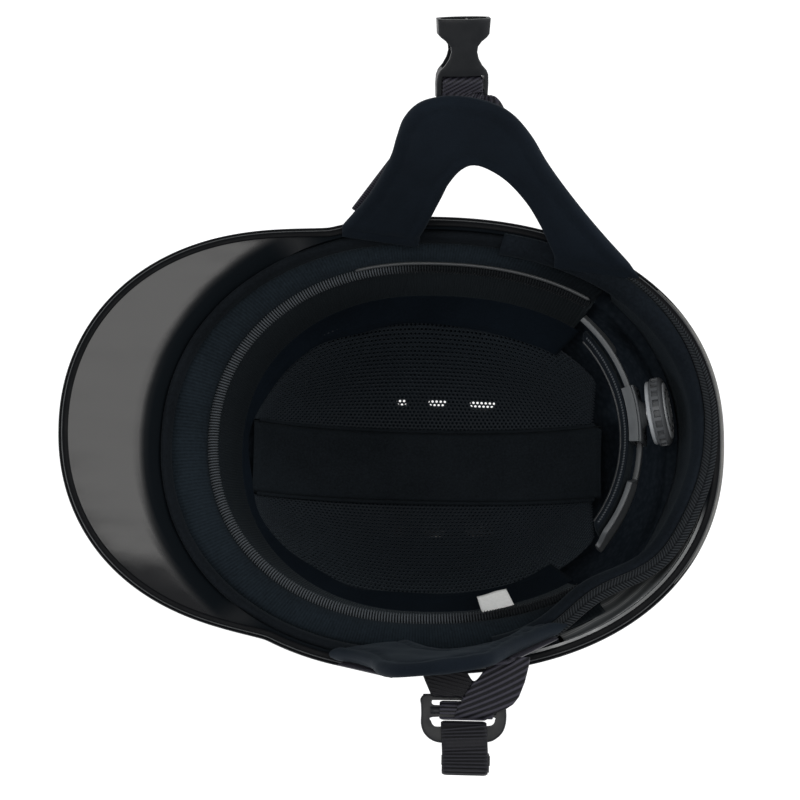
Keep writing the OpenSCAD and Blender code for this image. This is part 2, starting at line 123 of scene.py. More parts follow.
def coords(mt, scale=(1, 1, 1), kind="Object"):
    nt = mt.node_tree
    tc = node(nt, "ShaderNodeTexCoord")
    mp = node(nt, "ShaderNodeMapping")
    mp.inputs["Scale"].default_value = scale
    nt.links.new(tc.outputs[kind], mp.inputs["Vector"])
    return mp.outputs["Vector"]


def noise(mt, scale, detail=3.0, rough=0.55, vec=None):
    nt = mt.node_tree
    n = node(nt, "ShaderNodeTexNoise")
    n.inputs["Scale"].default_value = scale
    n.inputs["Detail"].default_value = detail
    n.inputs["Roughness"].default_value = rough
    nt.links.new(vec or coords(mt), n.inputs["Vector"])
    return n.outputs["Fac"]


def voronoi(mt, scale, feature="F1", vec=None):
    nt = mt.node_tree
    n = node(nt, "ShaderNodeTexVoronoi", feature=feature)
    n.inputs["Scale"].default_value = scale
    nt.links.new(vec or coords(mt), n.inputs["Vector"])
    return n.outputs["Distance"]


def wave(mt, scale, direction="X", vec=None, distortion=0.0):
    nt = mt.node_tree
    n = node(nt, "ShaderNodeTexWave", bands_direction=direction)
    n.inputs["Scale"].default_value = scale
    n.inputs["Distortion"].default_value = distortion
    nt.links.new(vec or coords(mt), n.inputs["Vector"])
    return n.outputs["Fac"]


def ramp(mt, fac, stops):
    nt = mt.node_tree
    r = node(nt, "ShaderNodeValToRGB")
    el = r.color_ramp.elements
    el[0].position, el[0].color = stops[0][0], (*stops[0][1], 1)
    el[1].position, el[1].color = stops[-1][0], (*stops[-1][1], 1)
    for p, c in stops[1:-1]:
        e = el.new(p)
        e.color = (*c, 1)
    nt.links.new(fac, r.inputs["Fac"])
    return r.outputs["Color"]


def to_colour(mt, out):
    mt.node_tree.links.new(out, mt.node_tree.nodes["Principled BSDF"].inputs["Base Color"])


def ribs(mt, lo, hi):
    """Colour from the sewn or woven ribs of the mesh itself: crests lighter and valleys darker, partly the yarn and
    partly painted highlight and shade, mixed with fine noise.
    """
    nt = mt.node_tree
    at = node(nt, "ShaderNodeAttribute", attribute_name="rib")
    nz = noise(mt, 1500, 3)
    ad = node(nt, "ShaderNodeMath", operation="MULTIPLY_ADD")
    nt.links.new(nz, ad.inputs[0])
    ad.inputs[1].default_value = 0.35
    nt.links.new(at.outputs["Fac"], ad.inputs[2])
    to_colour(mt, ramp(mt, ad.outputs[0], [(0.3, lo), (1.0, hi)]))


def rough_from(mt, fac, lo, hi, a=0.3, b=0.7):
    nt = mt.node_tree
    r = node(nt, "ShaderNodeMapRange")
    r.inputs["From Min"].default_value, r.inputs["From Max"].default_value = a, b
    r.inputs["To Min"].default_value, r.inputs["To Max"].default_value = lo, hi
    nt.links.new(fac, r.inputs["Value"])
    nt.links.new(r.outputs["Result"], nt.nodes["Principled BSDF"].inputs["Roughness"])


def bump(mt, layers):
    """layers: (height output, distance in metres, strength)"""
    nt = mt.node_tree
    last = None
    for h, dist, strength in layers:
        b = node(nt, "ShaderNodeBump")
        b.inputs["Distance"].default_value = dist
        b.inputs["Strength"].default_value = strength
        nt.links.new(h, b.inputs["Height"])
        if last is not None:
            nt.links.new(last, b.inputs["Normal"])
        last = b.outputs["Normal"]
    nt.links.new(last, nt.nodes["Principled BSDF"].inputs["Normal"])


def grey(v, tint=(1, 1, 1)):
    return tuple(v * t for t in tint)


TEAL = (0.86, 1.02, 1.08)

M = {}
# moulded gloss shell: fine orange peel, faint wipe marks and dust in the gloss. The mesh says where it is
# dull and unlit (the corner under the peak), and where the inner wall at the right rear gets grey bands and bright
# streaks: painted reflection.
mt = M["gloss"] = material("gloss_shell", (0.006, 0.006, 0.007), 0.1, 0.55)


def shell_layers(mt):
    nt = mt.node_tree
    bs = nt.nodes["Principled BSDF"]
    dull = node(nt, "ShaderNodeAttribute", attribute_name="dull").outputs["Fac"]
    painted_glare = node(nt, "ShaderNodeAttribute", attribute_name="painted_glare").outputs["Fac"]
    # painted reflection: grey bands with bright streaks stand in for the light the black inner wall reflects
    lines = wave(mt, 42, "Z", vec=coords(mt, (0.35, 0.35, 1)), distortion=3.0)
    glare_streaks = ramp(mt, lines, [(0.1, (0.07, 0.077, 0.08)), (0.55, (0.13, 0.14, 0.145)), (0.8, (0.17, 0.18, 0.183)), (0.92, (0.36, 0.37, 0.37)), (1.0, (0.2, 0.208, 0.213))])
    m1 = node(nt, "ShaderNodeMix", data_type="RGBA")
    nt.links.new(dull, m1.inputs["Factor"])
    m1.inputs[6].default_value = (0.006, 0.006, 0.007, 1)
    m1.inputs[7].default_value = (0.0055, 0.0075, 0.0095, 1)
    m2 = node(nt, "ShaderNodeMix", data_type="RGBA")
    nt.links.new(painted_glare, m2.inputs["Factor"])
    nt.links.new(m1.outputs[2], m2.inputs[6])
    nt.links.new(glare_streaks, m2.inputs[7])
    nt.links.new(m2.outputs[2], bs.inputs["Base Color"])
    inv = node(nt, "ShaderNodeMath", operation="MULTIPLY_ADD")
    nt.links.new(dull, inv.inputs[0])
    inv.inputs[1].default_value = -0.53
    inv.inputs[2].default_value = 0.55
    nt.links.new(inv.outputs[0], bs.inputs["Specular IOR Level"])
    nz = noise(mt, 26, 5, 0.6, coords(mt, (1, 3.2, 1)))
    ro = node(nt, "ShaderNodeMapRange")
    nt.links.new(nz, ro.inputs[0])
    ro.inputs[1].default_value, ro.inputs[2].default_value = 0.3, 0.7
    ro.inputs[3].default_value, ro.inputs[4].default_value = 0.08, 0.2
    ad = node(nt, "ShaderNodeMath", operation="MULTIPLY_ADD")
    nt.links.new(dull, ad.inputs[0])
    ad.inputs[1].default_value = 0.5
    nt.links.new(ro.outputs[0], ad.inputs[2])
    nt.links.new(ad.outputs[0], bs.inputs["Roughness"])


shell_layers(mt)
bump(mt, [(noise(mt, 190, 2), 0.0002, 0.05), (noise(mt, 2600, 2), 0.00002, 0.2)])
# shell edge bead: black rubber
mt = M["rubber"] = material("edge_rubber", (0.0045, 0.005, 0.006), 0.55, 0.08)
rough_from(mt, noise(mt, 90, 4), 0.34, 0.52)
bump(mt, [(noise(mt, 3000, 3), 0.00004, 0.4)])
mt = M["trim_grey"] = material("trim_grey", (0.2, 0.2, 0.19), 0.32, 0.5)
to_colour(mt, ramp(mt, noise(mt, 60, 4), [(0.3, (0.13, 0.13, 0.125)), (0.7, (0.2, 0.195, 0.18))]))
bump(mt, [(noise(mt, 1800, 3), 0.00003, 0.4)])
# painted reflection: grey bands and bright streaks on the black shell's inner wall
mt = M["wall"] = material("shell_wall_painted_glare", (0.16, 0.17, 0.175), 0.22, 0.5)
to_colour(mt, ramp(mt, wave(mt, 42, "Z", vec=coords(mt, (0.35, 0.35, 1)), distortion=3.0),
                   [(0.1, (0.1, 0.108, 0.111)), (0.6, (0.16, 0.17, 0.174)), (0.86, (0.2, 0.21, 0.214)), (0.94, (0.42, 0.43, 0.43)), (1.0, (0.22, 0.23, 0.233))]))
bump(mt, [(noise(mt, 190, 2), 0.0002, 0.08), (noise(mt, 2600, 2), 0.00002, 0.2)])
# black foam: beads
mt = M["foam"] = material("foam_black", (0.004, 0.006, 0.008), 0.85, 0.06)
to_colour(mt, ramp(mt, voronoi(mt, 330), [(0.1, (0.02, 0.026, 0.034)), (0.7, (0.012, 0.017, 0.023))]))
bump(mt, [(voronoi(mt, 330), 0.0006, 0.5), (noise(mt, 1500, 3), 0.0001, 0.4)])


def fabric(name, base, rough=0.85, sheen=0.05, fine=2400.0, fuzz=700.0, depth=0.00012, blotch=18.0, spread=0.35, spec=0.07, radial=0.0):
    f = material(name, base, rough, spec, sheen=sheen, sheen_rough=0.45)
    f.node_tree.nodes["Principled BSDF"].inputs["Sheen Tint"].default_value = (0.75, 0.9, 1.0, 1)
    lo = tuple(c * (1 - spread) for c in base)
    hi = tuple(c * (1 + spread) for c in base)
    nt = f.node_tree
    big = noise(f, blotch, 4, 0.6)
    small = noise(f, fuzz, 3, 0.7)
    mx = node(nt, "ShaderNodeMath", operation="ADD")
    nt.links.new(big, mx.inputs[0])
    nt.links.new(small, mx.inputs[1])
    hf = node(nt, "ShaderNodeMath", operation="MULTIPLY")
    hf.inputs[1].default_value = 0.5
    nt.links.new(mx.outputs[0], hf.inputs[0])
    fac = hf.outputs[0]
    layers = [(noise(f, fuzz, 4, 0.7), depth * 2, 0.5), (noise(f, fine, 2, 0.6), depth, 0.7)]
    if radial:
        # fine cords of the knit, running across the pad all the way round it
        gr = node(nt, "ShaderNodeTexGradient", gradient_type="RADIAL")
        nt.links.new(coords(f), gr.inputs["Vector"])
        ml = node(nt, "ShaderNodeMath", operation="MULTIPLY")
        ml.inputs[1].default_value = radial * 2 * pi
        nt.links.new(gr.outputs["Fac"], ml.inputs[0])
        sn = node(nt, "ShaderNodeMath", operation="SINE")
        nt.links.new(ml.outputs[0], sn.inputs[0])
        ma = node(nt, "ShaderNodeMath", operation="MULTIPLY_ADD")
        nt.links.new(sn.outputs[0], ma.inputs[0])
        ma.inputs[1].default_value = 0.07
        nt.links.new(fac, ma.inputs[2])
        fac = ma.outputs[0]
        layers.append((sn.outputs[0], 0.00012, 0.6))
    to_colour(f, ramp(f, fac, [(0.36, lo), (0.64, hi)]))
    bump(f, layers)
    return f


M["fleece"] = fabric("fleece_black", (0.0085, 0.0115, 0.0155), 0.9, 0.05)
M["fleece_cord"] = fabric("fleece_cord", (0.0112, 0.0164, 0.0215), 0.9, 0.08, radial=430.0)
M["pad"] = fabric("pad_fabric", (0.0085, 0.0125, 0.0185), 0.82, 0.04, fine=3000, fuzz=1300, depth=0.00006, blotch=26, spread=0.22)
M["crown"] = fabric("crown_fabric", (0.0115, 0.015, 0.0185), 0.88, 0.03, fine=2600, fuzz=900, depth=0.0001)
M["flap"] = fabric("flap_fabric", (0.0075, 0.0095, 0.012), 0.9, 0.05)
M["lining"] = fabric("lining_fabric", (0.006, 0.0095, 0.0145), 0.8, 0.02, fine=2600, fuzz=1100, depth=0.00008, spec=0.05)
nt = M["fleece_cord"].node_tree
bs = nt.nodes["Principled BSDF"]
src = bs.inputs["Base Color"].links[0].from_socket
sc = node(nt, "ShaderNodeVectorMath", operation="SCALE")
nt.links.new(src, sc.inputs[0])
nt.links.new(node(nt, "ShaderNodeAttribute", attribute_name="shade").outputs["Fac"], sc.inputs["Scale"])
nt.links.new(sc.outputs[0], bs.inputs["Base Color"])
M["mesh"] = fabric("mesh_fabric", (0.0145, 0.0195, 0.0252), 0.55, 0.1, fine=4000, fuzz=2200, depth=0.00005, spread=0.2, spec=0.2)
M["binding"] = material("binding_fabric", (0.02, 0.024, 0.027), 0.6, 0.15, sheen=0.08)
ribs(M["binding"], (0.004, 0.0055, 0.007), (0.085, 0.095, 0.105))
bump(M["binding"], [(noise(M["binding"], 2600, 3), 0.00008, 0.6)])
M["knit"] = material("knit_fabric", (0.02, 0.024, 0.027), 0.65, 0.12, sheen=0.06)
ribs(M["knit"], (0.005, 0.0065, 0.008), (0.05, 0.056, 0.062))
bump(M["knit"], [(noise(M["knit"], 2600, 3), 0.00008, 0.6)])
M["piping"] = material("piping_vinyl", (0.012, 0.014, 0.016), 0.24, 0.5)
bump(M["piping"], [(noise(M["piping"], 1500, 3), 0.00004, 0.5)])
rough_from(M["piping"], noise(M["piping"], 120, 4), 0.2, 0.36)
M["lip"] = material("lip_vinyl", (0.05, 0.053, 0.055), 0.3, 0.5)
bump(M["lip"], [(noise(M["lip"], 1500, 3), 0.00004, 0.5)])
rough_from(M["lip"], noise(M["lip"], 90, 4), 0.25, 0.45)
# webbing: the ribs are geometry, the fine yarn is here
# darker copy of the webbing for the chin strap: painted shade
mt = M["tail"] = material("webbing_painted_shade", (0.012, 0.012, 0.015), 0.5, 0.15, sheen=0.04)
ribs(mt, (0.0035, 0.0035, 0.0045), (0.028, 0.028, 0.034))
bump(mt, [(noise(mt, 3200, 2), 0.0001, 0.6)])
mt = M["webbing"] = material("webbing_nylon", (0.02, 0.019, 0.024), 0.45, 0.22, sheen=0.06, sheen_rough=0.3)
ribs(mt, (0.0035, 0.0035, 0.0055), (0.05, 0.048, 0.064))
bump(mt, [(noise(mt, 3200, 2), 0.0001, 0.6), (wave(mt, 700, "DIAGONAL", distortion=1.2), 0.00008, 0.35)])


def plastic(name, base, rough=0.42, grain=1400.0, gd=0.00005, spread=0.12, spec=0.4):
    f = material(name, base, rough, spec)
    lo = tuple(c * (1 - spread) for c in base)
    hi = tuple(c * (1 + spread) for c in base)
    to_colour(f, ramp(f, noise(f, 120, 5), [(0.3, lo), (0.7, hi)]))
    rough_from(f, noise(f, 240, 4), rough - 0.06, rough + 0.1)
    bump(f, [(noise(f, grain, 3, 0.6), gd, 0.5)])
    return f


M["buckle"] = plastic("buckle_plastic", (0.011, 0.012, 0.014), 0.42, spec=0.32)
# lightened well above black plastic so the cradle reads bright: painted reflection of the overhead light
M["cradle"] = plastic("cradle_plastic", (0.11, 0.117, 0.122), 0.36)
M["dial"] = plastic("dial_grey", (0.12, 0.126, 0.133), 0.4)
M["dial_light"] = plastic("dial_light", (0.46, 0.48, 0.495), 0.38)
M["rivet"] = plastic("rivet_black", (0.008, 0.009, 0.011), 0.5, spec=0.1)
M["steel"] = material("steel", (0.45, 0.45, 0.46), 0.3, metallic=1.0)
rough_from(M["steel"], noise(M["steel"], 500, 3, vec=coords(M["steel"], (1, 1, 12))), 0.22, 0.45)
bump(M["steel"], [(noise(M["steel"], 900, 3, vec=coords(M["steel"], (1, 1, 12))), 0.00003, 0.4)])
mt = M["tag"] = material("tag_white", (0.8, 0.8, 0.78), 0.75, 0.3)
to_colour(mt, ramp(mt, noise(mt, 700, 3), [(0.3, (0.86, 0.86, 0.83)), (0.7, (0.95, 0.95, 0.93))]))
bump(mt, [(wave(mt, 520, "X"), 0.00005, 0.4), (wave(mt, 520, "Z"), 0.00005, 0.4)])
M["print"] = material("tag_print", (0.02, 0.02, 0.02), 0.7)
bump(M["print"], [(noise(M["print"], 2500, 2), 0.00003, 0.5)])
mt = M["floor"] = material("pale_floor", (0.5, 0.5, 0.5), 0.9, 0.1)
fb = mt.node_tree.nodes["Principled BSDF"]
fb.inputs["Emission Color"].default_value = (1, 1, 1, 1)
fb.inputs["Emission Strength"].default_value = 0.9

me = bpy.data.meshes.new("floor")
me.from_pydata([(-4, -4, 0), (4, -4, 0), (4, 4, 0), (-4, 4, 0)], [], [(0, 1, 2, 3)])
floor = bpy.data.objects.new("floor", me)
scene.collection.objects.link(floor)
floor.location.z = -0.0004
me.materials.append(M["floor"])

# ------------------------------------------------------------------ the helmet's own shape, in millimetres
SF, SR, SW, RIM, TILT, ST = 126.0, 137.5, 104.5, 138.0, 12.0, 2.5
PW, RISE, BD, BX = 42.0, 7.0, 20.0, 6.0
PP, QQ, Z0 = 0.86, 0.95, 2.5
NF, NR, PTURN, ROFF = 2.15, 2.26, 6.0, 1.5


def C(t): return np.cos(np.radians(t))
def S(t): return np.sin(np.radians(t))
def spow(v, e): return np.sign(v) * np.abs(v) ** e
def ex(t): return np.where(C(t) > 0, 2 / NR, 2 / NF)
def aa(t): return np.where(C(t) > 0, SR, SF)
def ux(t): return spow(C(t), ex(t))
def uy(t): return spow(S(t), ex(t))
def zr(t): return RIM + TILT * C(t) - np.where(C(t) < 0, 3 * C(t) ** 2, 0)
def V3(x, y, z): return np.stack(np.broadcast_arrays(x, y, z), -1).astype(float)


def pf(t, f, d):
    r = S(f) ** PP
    return V3((aa(t) - d) * ux(t) * r, (SW - d) * uy(t) * r, zr(t) - (zr(t) - Z0 - d) * C(f) ** QQ)


def pz(t, z, d):
    t, z, d = np.broadcast_arrays(np.asarray(t, float), np.asarray(z, float), np.asarray(d, float))
    u = np.clip(z / (zr(t) - Z0 - d), 0, 1)
    r = np.sin(np.arccos(u ** (1 / QQ))) ** PP
    return V3((aa(t) - d) * ux(t) * r, (SW - d) * uy(t) * r, zr(t) - z)


def pk(t):
    al = np.abs(180 - PTURN - (np.asarray(t) % 360))
    return np.where(al < 65.5, PW * np.maximum(np.cos(np.radians(90 / 65.5 * np.minimum(al, 65.5))), 0) ** 1.3, 0)


def outn(t):
    nx, ny = ux(t) / aa(t), uy(t) / SW
    l = np.sqrt(nx * nx + ny * ny)
    nx, ny = nx / l, ny / l
    k = 0.47 * np.minimum(1, pk(t) / 6)
    return k * C(t) + (1 - k) * nx, k * S(t) + (1 - k) * ny


def fl(t, s, d, h):
    w = (pk(t) + 0.8) * s
    nx, ny = outn(t)
    return V3((aa(t) - d) * ux(t) + w * nx, (SW - d) * uy(t) + w * ny,
              zr(t) + h + RISE * (pk(t) / PW) ** 0.8 * s ** 1.6)


def deps(t): return 5.8 + 0.6222 * (dd(t) - 6.6) - np.where(C(t) > 0, 3 * C(t) ** 2, 0)
def zeps(t): return 12.5 + np.where(C(t) > 0, 34 * C(t) ** 2, 0)
def dd(t): return BD - ROFF * S(t) + np.where(C(t) < 0, BX * C(t) ** 2, 0)
def nin(t): return 12 * np.exp(-((t + 49) / 16) ** 2) + 3.5 * np.exp(-((t + 20) / 14) ** 2) - 1.3 * C(t) ** 8 * sstep(t, -14, 8)


def hin(x, y, d):
    a = np.where(x > 0, SR, SF) - d
    b = SW - d
    n = np.where(x > 0, NR, NF)
    r = np.maximum(0.001, (np.abs(x / a) ** n + np.abs(y / b) ** n) ** (1 / n))
    f = np.arcsin(np.minimum(1, r ** (1 / PP)))
    c = np.sign(x) * np.minimum(1, np.abs(x / a) / r) ** (n / 2)
    z = RIM + TILT * c - np.where(c < 0, 3 * c * c, 0)
    return z - (z - Z0 - d) * np.cos(f) ** QQ


def sstep(x, a, b):
    x = np.clip((np.asarray(x, float) - a) / (b - a), 0, 1)
    return x * x * (3 - 2 * x)


# ------------------------------------------------------------------ mesh helpers (millimetres in, metres out)
def finish_obj(o, mat, body, rep=(), sharp=None):
    scene.collection.objects.link(o)
    o.data.materials.append(mat)
    o.data.shade_smooth()
    if sharp:
        o.data.set_sharp_from_angle(angle=math.radians(sharp))
    if body:
        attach(o, body)
    if rep:
        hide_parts(*rep)
    return o


def mesh(name, verts, faces, mat, body, slot=None, rep=(), sharp=None, fix=True):
    me = bpy.data.meshes.new(name)
    me.from_pydata((np.asarray(verts, float) * 0.001).tolist(), [], [tuple(int(i) for i in f) for f in faces])
    if fix:
        bm = bmesh.new()
        bm.from_mesh(me)
        bmesh.ops.recalc_face_normals(bm, faces=bm.faces)
        bm.to_mesh(me)
        bm.free()
    me.update()
    o = bpy.data.objects.new(name, me)
    return finish_obj(o, mat, body, rep, sharp)


def grid_faces(n, m, cu=False, cv=False, base=0):
    i = np.arange(n if cu else n - 1)
    j = np.arange(m if cv else m - 1)
    I, J = np.meshgrid(i, j, indexing="ij")
    I2, J2 = (I + 1) % n, (J + 1) % m
    return (np.stack([I * m + J, I * m + J2, I2 * m + J2, I2 * m + J], -1).reshape(-1, 4) + base).tolist()


def tube(name, P, mat, body, closed=False, caps=True, **kw):
    """P: rings (n, m, 3), each ring a closed loop of m points."""
    n, m = P.shape[:2]
    V = P.reshape(-1, 3)
    F = grid_faces(n, m, closed, True)
    if caps == "flat":
        F += [tuple(range(m - 1, -1, -1)), tuple(range((n - 1) * m, n * m))]
    elif caps and not closed:
        V = np.concatenate([V, P[0].mean(0)[None], P[-1].mean(0)[None]])
        k = n * m
        F += [(int((j + 1) % m), int(j), k) for j in range(m)]
        F += [((n - 1) * m + j, (n - 1) * m + (j + 1) % m, k + 1) for j in range(m)]
    return mesh(name, V, F, mat, body, **kw)


def resample(P, step, closed=False):
    P = np.asarray(P, float)
    if closed:
        P = np.concatenate([P, P[:1]])
    L = np.concatenate([[0], np.cumsum(np.linalg.norm(np.diff(P, axis=0), axis=1))])
    n = max(3, int(round(L[-1] / step)))
    s = np.linspace(0, L[-1], n + 1)
    if closed:
        s = s[:-1]
    return np.stack([np.interp(s, L, P[:, k]) for k in range(P.shape[1])], 1), s


def spline(P, k=8, closed=False):
    """Catmull-Rom through the points."""
    P = np.asarray(P, float)
    n = len(P)
    out = []
    for i in range(n if closed else n - 1):
        if closed:
            a, b, c, d = P[(i - 1) % n], P[i], P[(i + 1) % n], P[(i + 2) % n]
        else:
            a, b, c, d = P[max(i - 1, 0)], P[i], P[i + 1], P[min(i + 2, n - 1)]
        for q in range(k):
            u = q / k
            out.append(0.5 * (2 * b + (c - a) * u + (2 * a - 5 * b + 4 * c - d) * u * u + (3 * b - a - 3 * c + d) * u ** 3))
    if not closed:
        out.append(P[-1])
    return np.array(out)


def tangents(P, closed=False):
    if closed:
        T = np.roll(P, -1, 0) - np.roll(P, 1, 0)
    else:
        T = np.gradient(P, axis=0)
    return T / np.linalg.norm(T, axis=1)[:, None]


def unit(v):
    v = np.asarray(v, float)
    return v / np.linalg.norm(v, axis=-1, keepdims=True)


def rib_attr(o, v):
    v = np.asarray(v, np.float32).ravel()
    a = o.data.attributes.new("rib", "FLOAT", "POINT")
    full = np.full(len(o.data.vertices), 0.5, np.float32)
    full[:min(len(v), len(full))] = v[:len(full)]
    a.data.foreach_set("value", full)
    return o


def ribbed(name, P, mat, body, r1, r2, pitch, amp, up=(0, 0, 1), nsec=12, per=5, skew=1.0, chevron=False, closed=False, **kw):
    """A round or oval binding along P with sewn ribs across it."""
    P, s = resample(P, pitch / per, closed)
    T = tangents(P, closed)
    N = unit(np.cross(T, np.broadcast_to(np.asarray(up, float), T.shape)))
    B = np.cross(N, T)
    th = np.arange(nsec) * 2 * pi / nsec
    ph = skew * (np.abs(((th / pi + 0.5) % 2) - 1) * pi if chevron else th)
    wv = np.sin(2 * pi * s[:, None] / pitch + ph[None, :])
    R = 1 + amp * wv
    if not closed:
        e = np.clip(np.minimum(s, s[-1] - s) / (r1 * 0.8), 0.02, 1)
        R = R * np.sqrt(1 - (1 - e[:, None]) ** 2)
    V = P[:, None, :] + (r1 * R * np.cos(th))[..., None] * N[:, None, :] + (r2 * R * np.sin(th))[..., None] * B[:, None, :]
    return rib_attr(tube(name, V, mat, body, closed=closed, **kw), 0.5 + 0.5 * wv)


def cord_tube(name, P, r, mat, body, nsec=10, closed=False, step=1.2, **kw):
    P, s = resample(P, step, closed)
    T = tangents(P, closed)
    ref = np.array([0, 0, 1.0])
    N = np.cross(T, ref)
    bad = np.linalg.norm(N, axis=1) < 1e-3
    N[bad] = (1, 0, 0)
    N = unit(N)
    B = np.cross(N, T)
    th = np.arange(nsec) * 2 * pi / nsec
    R = np.full(len(P), r)
    if not closed:
        e = np.clip(np.minimum(s, s[-1] - s) / r, 0.05, 1)
        R = R * np.sqrt(1 - (1 - e) ** 2)
    V = P[:, None, :] + (R[:, None] * np.cos(th))[..., None] * N[:, None, :] + (R[:, None] * np.sin(th))[..., None] * B[:, None, :]
    return tube(name, V, mat, body, closed=closed, **kw)


def strap(name, P, Wd, width, thick, mat, body, pitch=1.5, depth=0.16, slant=0.0, step=None, nw=22, smooth_zone=None, **kw):
    """Flat webbing along P. Wd: direction across it at each point. Ribs run across, slanted by slant."""
    P = np.asarray(P, float)
    Wd = np.broadcast_to(np.asarray(Wd, float), P.shape)
    J = np.concatenate([P, Wd], 1)
    Q = np.concatenate([[0], np.cumsum(np.linalg.norm(np.diff(P, axis=0), axis=1))])
    n = int(Q[-1] / (step or pitch / 6)) + 2
    s = np.linspace(0, Q[-1], n)
    J = np.stack([np.interp(s, Q, J[:, k]) for k in range(6)], 1)
    P, Wd = J[:, :3], unit(J[:, 3:])
    T = tangents(P)
    Wd = unit(Wd - (Wd * T).sum(1)[:, None] * T)
    N = np.cross(T, Wd)
    w = np.linspace(-1, 1, nw) * width / 2
    edge = np.abs(w) > width / 2 - 1.2
    taper = np.sqrt(np.clip(1 - (np.abs(w) / (width / 2)) ** 24, 0.05, 1))
    rib = np.sin(2 * pi * (s[:, None] + slant * w[None, :]) / pitch)
    if smooth_zone is not None:
        a, b = smooth_zone
        rib = rib * (1 - 0.85 * sstep(s, a, a + 1.5) * (1 - sstep(s, b - 1.5, b)))[:, None]
    h = (thick / 2) * taper[None, :] + depth * rib * np.where(edge, 0.35, 1.0)[None, :]
    hb = (thick / 2) * taper[None, :] + depth * 0.7 * rib * np.where(edge, 0.35, 1.0)[None, :]
    top = P[:, None, :] + w[None, :, None] * Wd[:, None, :] + h[..., None] * N[:, None, :]
    bot = P[:, None, :] + w[None, ::-1, None] * Wd[:, None, :] - hb[:, ::-1, None] * N[:, None, :]
    v = np.concatenate([rib * np.where(edge, 0.5, 1.0)[None, :], rib[:, ::-1]], 1)
    return rib_attr(tube(name, np.concatenate([top, bot], 1), mat, body, **kw), 0.5 + 0.5 * v)


def inside(poly, pts):
    x, y = pts[:, 0], pts[:, 1]
    c = np.zeros(len(pts), bool)
    n = len(poly)
    for i in range(n):
        x1, y1 = poly[i]
        x2, y2 = poly[(i + 1) % n]
        k = (y1 > y) != (y2 > y)
        with np.errstate(divide="ignore", invalid="ignore"):
            xi = (x2 - x1) * (y - y1) / (y2 - y1 if y2 != y1 else 1e-9) + x1
        c ^= k & (x < xi)
    return c


def edge_dist(polys, pts):
    best = np.full(len(pts), 1e9)
    for poly in polys:
        A = np.asarray(poly)
        B = np.roll(A, -1, 0)
        for a, b in zip(A, B):
            ab = b - a
            t = np.clip(((pts - a) @ ab) / max(ab @ ab, 1e-9), 0, 1)
            d = np.linalg.norm(pts - (a + t[:, None] * ab), axis=1)
            best = np.minimum(best, d)
    return best


def flat_mesh(outline, spacing, holes=(), rings=(0.35, 0.9, 1.8), seed=3):
    """Even triangles inside an outline: points, triangles, distance to the edge, and the boundary loops."""
    loops = [np.asarray(outline, float)] + [np.asarray(h, float) for h in holes]
    out = loops[0]
    lo, hi = out.min(0), out.max(0)
    xs = np.arange(lo[0], hi[0], spacing)
    ys = np.arange(lo[1], hi[1], spacing * 0.866)
    pts = np.array([(x + (spacing / 2 if j % 2 else 0), y) for j, y in enumerate(ys) for x in xs])
    cand = [pts]
    need = [np.full(len(pts), (rings[-1] if rings else 0) + spacing * 0.55)]
    for lp in loops:
        T = np.roll(lp, -1, 0) - np.roll(lp, 1, 0)
        T = T / np.linalg.norm(T, axis=1)[:, None]
        for s in (1, -1):
            N = np.stack([T[:, 1], -T[:, 0]], 1) * s
            for r in rings:
                cand.append(lp + N * r)
                need.append(np.full(len(lp), r * 0.93))
    cand, need = np.concatenate(cand), np.concatenate(need)
    ok = inside(out, cand)
    for h in loops[1:]:
        ok &= ~inside(h, cand)
    cand, need = cand[ok], need[ok]
    d = edge_dist(loops, cand)
    cand = cand[d >= need]
    base = np.concatenate(loops)
    allp = np.concatenate([base, cand])
    edges, k = [], 0
    for lp in loops:
        n = len(lp)
        edges += [(k + i, k + (i + 1) % n) for i in range(n)]
        k += n
    vs, es, fs, *_ = delaunay_2d_cdt([Vector(p) for p in allp], edges, [], 0, 1e-5)
    vs = np.array([tuple(v) for v in vs])
    tri = np.array([f for f in fs if len(f) == 3])
    cen = vs[tri].mean(1)
    keep = inside(out, cen)
    for h in loops[1:]:
        keep &= ~inside(h, cen)
    tri = tri[keep]
    used = np.unique(tri)
    remap = -np.ones(len(vs), int)
    remap[used] = np.arange(len(used))
    vs, tri = vs[used], remap[tri]
    # boundary edges
    cnt = {}
    for f in tri:
        for a, b in ((f[0], f[1]), (f[1], f[2]), (f[2], f[0])):
            key = (min(a, b), max(a, b))
            cnt.setdefault(key, []).append((a, b))
    bound = [v[0] for v in cnt.values() if len(v) == 1]
    return vs, tri, edge_dist(loops, vs), bound


def slab(name, outline, fmap, top, bottom, mat, body, spacing=1.7, holes=(), rings=(0.35, 0.9, 1.8), **kw):
    """A padded or moulded flat piece: top(u, v, d) and bottom(u, v, d) give the two faces' offsets, d is the distance to the edge."""
    p, tri, d, bound = flat_mesh(outline, spacing, holes, rings)
    ht, hb = top(p[:, 0], p[:, 1], d), bottom(p[:, 0], p[:, 1], d)
    n = len(p)
    V = np.concatenate([fmap(p[:, 0], p[:, 1], ht), fmap(p[:, 0], p[:, 1], hb)])
    F = [tuple(f) for f in tri] + [(f[0] + n, f[2] + n, f[1] + n) for f in tri]
    F += [(b, a, a + n, b + n) for a, b in bound]
    o = mesh(name, V, F, mat, body, **kw)
    bm = bmesh.new()
    bm.from_mesh(o.data)
    bmesh.ops.remove_doubles(bm, verts=bm.verts, dist=2e-6)
    bm.to_mesh(o.data)
    bm.free()
    return o


def roty(a): c, s = math.cos(math.radians(a)), math.sin(math.radians(a)); return np.array([[c, 0, s], [0, 1, 0], [-s, 0, c]])
def rotx(a): c, s = math.cos(math.radians(a)), math.sin(math.radians(a)); return np.array([[1, 0, 0], [0, c, -s], [0, s, c]])
def rotz(a): c, s = math.cos(math.radians(a)), math.sin(math.radians(a)); return np.array([[c, -s, 0], [s, c, 0], [0, 0, 1]])


def xf(P, R, o):
    return np.asarray(P, float) @ np.asarray(R).T + np.asarray(o, float)


